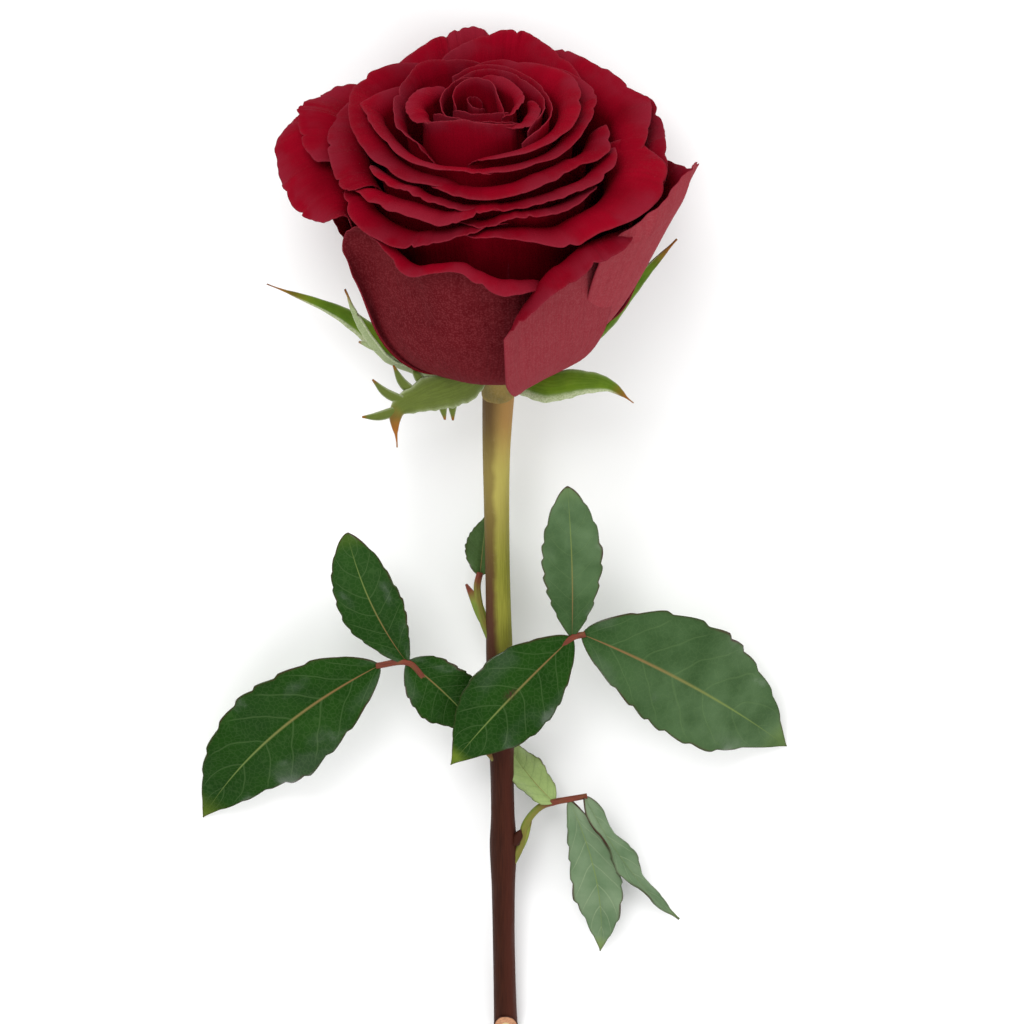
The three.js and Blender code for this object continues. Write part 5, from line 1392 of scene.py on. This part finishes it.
def build_floor(settings):
    """A wide flat floor just under the flower."""
    mesh = bpy.data.meshes.new("floor")
    x, y = np.meshgrid([-FLOOR_HALF, FLOOR_HALF], [-FLOOR_HALF, FLOOR_HALF])
    points = np.column_stack([x.ravel(), y.ravel(), np.full(4, FLOOR_Z)])
    mesh.from_pydata(points.tolist(), [], [(0, 1, 3, 2)])
    skin = Skin("pale_floor", Roughness=0.9, Specular_IOR_Level=0.1)
    lighter = tuple(min(1.0, c * 1.02) for c in settings.floor)
    skin.feed(skin.shader["Base Color"], skin.mix(skin.patches(3.0, 1.0), settings.floor, lighter))
    mesh.materials.append(skin.material)
    add_object("floor", mesh)


def soft_light(name, place, aim, size, power):
    """A square area light at place, turned to aim."""
    data = bpy.data.lights.new(name, "AREA")
    data.size = size
    data.energy = power
    light = add_object(name, data)
    light.location = place
    light.rotation_euler = (Vector(aim) - Vector(place)).to_track_quat("-Z", "Y").to_euler()


def build_camera(settings):
    """The camera looks down on the flower, tilted from straight down towards the bloom's end."""
    data = bpy.data.cameras.new("camera")
    data.lens = 180
    data.sensor_width = 36
    data.clip_start, data.clip_end = 0.05, 20
    camera = add_object("camera", data)
    target = Vector((-CENTRE[0] * MM, -CENTRE[1] * MM, 0.015))
    back = Vector((0, math.sin(settings.tilt), math.cos(settings.tilt)))
    camera.location = target + back * settings.distance
    up = Vector((0, math.cos(settings.tilt), -math.sin(settings.tilt)))
    camera.rotation_euler = Matrix((up.cross(back), up, back)).transposed().to_euler()
    bpy.context.scene.camera = camera


# ---- Operators ----

class RosePiece:
    """What the operators share."""

    bl_options = {"REGISTER", "UNDO"}


class ROSE_OT_heart(RosePiece, bpy.types.Operator):
    """Build the small furled petals of the bloom's heart"""

    bl_idname = "rose.heart"
    bl_label = "Heart petals"

    def execute(self, context):
        build_petals(list(enumerate(PETALS))[:HEART_END] + HEART_FILLERS, context.scene.rose.petals)
        build_receptacle(context.scene.rose.petals)
        return {"FINISHED"}


class ROSE_OT_open_petals(RosePiece, bpy.types.Operator):
    """Build the open petals round the heart"""

    bl_idname = "rose.open_petals"
    bl_label = "Open petals"

    def execute(self, context):
        build_petals(list(enumerate(PETALS))[HEART_END:GUARD_START], context.scene.rose.petals)
        return {"FINISHED"}


class ROSE_OT_guard_petals(RosePiece, bpy.types.Operator):
    """Build the outermost petals, which hold the bloom from outside"""

    bl_idname = "rose.guard_petals"
    bl_label = "Guard petals"

    def execute(self, context):
        build_petals(list(enumerate(PETALS))[GUARD_START:], context.scene.rose.petals)
        return {"FINISHED"}


class ROSE_OT_calyx(RosePiece, bpy.types.Operator):
    """Build the hip and the sepals"""

    bl_idname = "rose.calyx"
    bl_label = "Calyx"

    def execute(self, context):
        build_calyx(context.scene.rose.calyx)
        return {"FINISHED"}


class ROSE_OT_stem(RosePiece, bpy.types.Operator):
    """Build the stem with its cut end and its bud"""

    bl_idname = "rose.stem"
    bl_label = "Stem"

    def execute(self, context):
        build_stem(context.scene.rose.stem)
        return {"FINISHED"}


class ROSE_OT_leaves(RosePiece, bpy.types.Operator):
    """Build the compound leaves with their stalks and stipules"""

    bl_idname = "rose.leaves"
    bl_label = "Leaves"

    def execute(self, context):
        for leaf in LEAVES:
            build_leaflets(leaf, context.scene.rose.leaves)
            build_stalk(leaf, context.scene.rose.leaves)
        return {"FINISHED"}


class ROSE_OT_stage(RosePiece, bpy.types.Operator):
    """Build the floor, the lights and the camera"""

    bl_idname = "rose.stage"
    bl_label = "Floor, lights and camera"

    def execute(self, context):
        settings = context.scene.rose.stage
        build_floor(settings)
        soft_light("key_light", (-0.25, 0.75, 0.85), (0, 0.05, 0), 0.6, settings.key_power)
        soft_light("right_light", (0.8, -0.1, 0.6), (0, 0, 0), 0.5, settings.fill_power)
        soft_light("foot_light", (-0.5, -0.7, 0.7), (0, 0, 0), 0.6, settings.fill_power)
        world = bpy.data.worlds.new("surround")
        world.use_nodes = True
        world.node_tree.nodes["Background"].inputs["Strength"].default_value = settings.sky
        world.node_tree.nodes["Background"].inputs["Color"].default_value = (1, 1, 1, 1)
        context.scene.world = world
        context.scene.view_settings.view_transform = "Standard"
        build_camera(settings)
        return {"FINISHED"}


OPERATORS = (
    ROSE_OT_stage,
    ROSE_OT_stem,
    ROSE_OT_leaves,
    ROSE_OT_calyx,
    ROSE_OT_guard_petals,
    ROSE_OT_open_petals,
    ROSE_OT_heart,
)


class VIEW3D_PT_rose(bpy.types.Panel):
    """Lists the rose's pieces and their settings"""

    bl_label = "Rose"
    bl_space_type = "VIEW_3D"
    bl_region_type = "UI"
    bl_category = "Rose"

    def draw(self, context):
        for operator in OPERATORS:
            self.layout.operator(operator.bl_idname)
        for key in ("petals", "leaves", "stem", "calyx", "stage"):
            group = getattr(context.scene.rose, key)
            box = self.layout.box()
            box.label(text=key.capitalize())
            for name in group.__annotations__:
                box.prop(group, name)


CLASSES = (
    RosePetalSettings,
    RoseLeafSettings,
    RoseStemSettings,
    RoseCalyxSettings,
    RoseStageSettings,
    RoseSettings,
    *OPERATORS,
    VIEW3D_PT_rose,
)


def register():
    for item in CLASSES:
        bpy.utils.register_class(item)
    bpy.types.Scene.rose = PointerProperty(type=RoseSettings)


def unregister():
    del bpy.types.Scene.rose
    for item in reversed(CLASSES):
        bpy.utils.unregister_class(item)


def main():
    register()
    for operator in OPERATORS:
        group, name = operator.bl_idname.split(".")
        getattr(getattr(bpy.ops, group), name)()


if __name__ == "__main__":
    main()
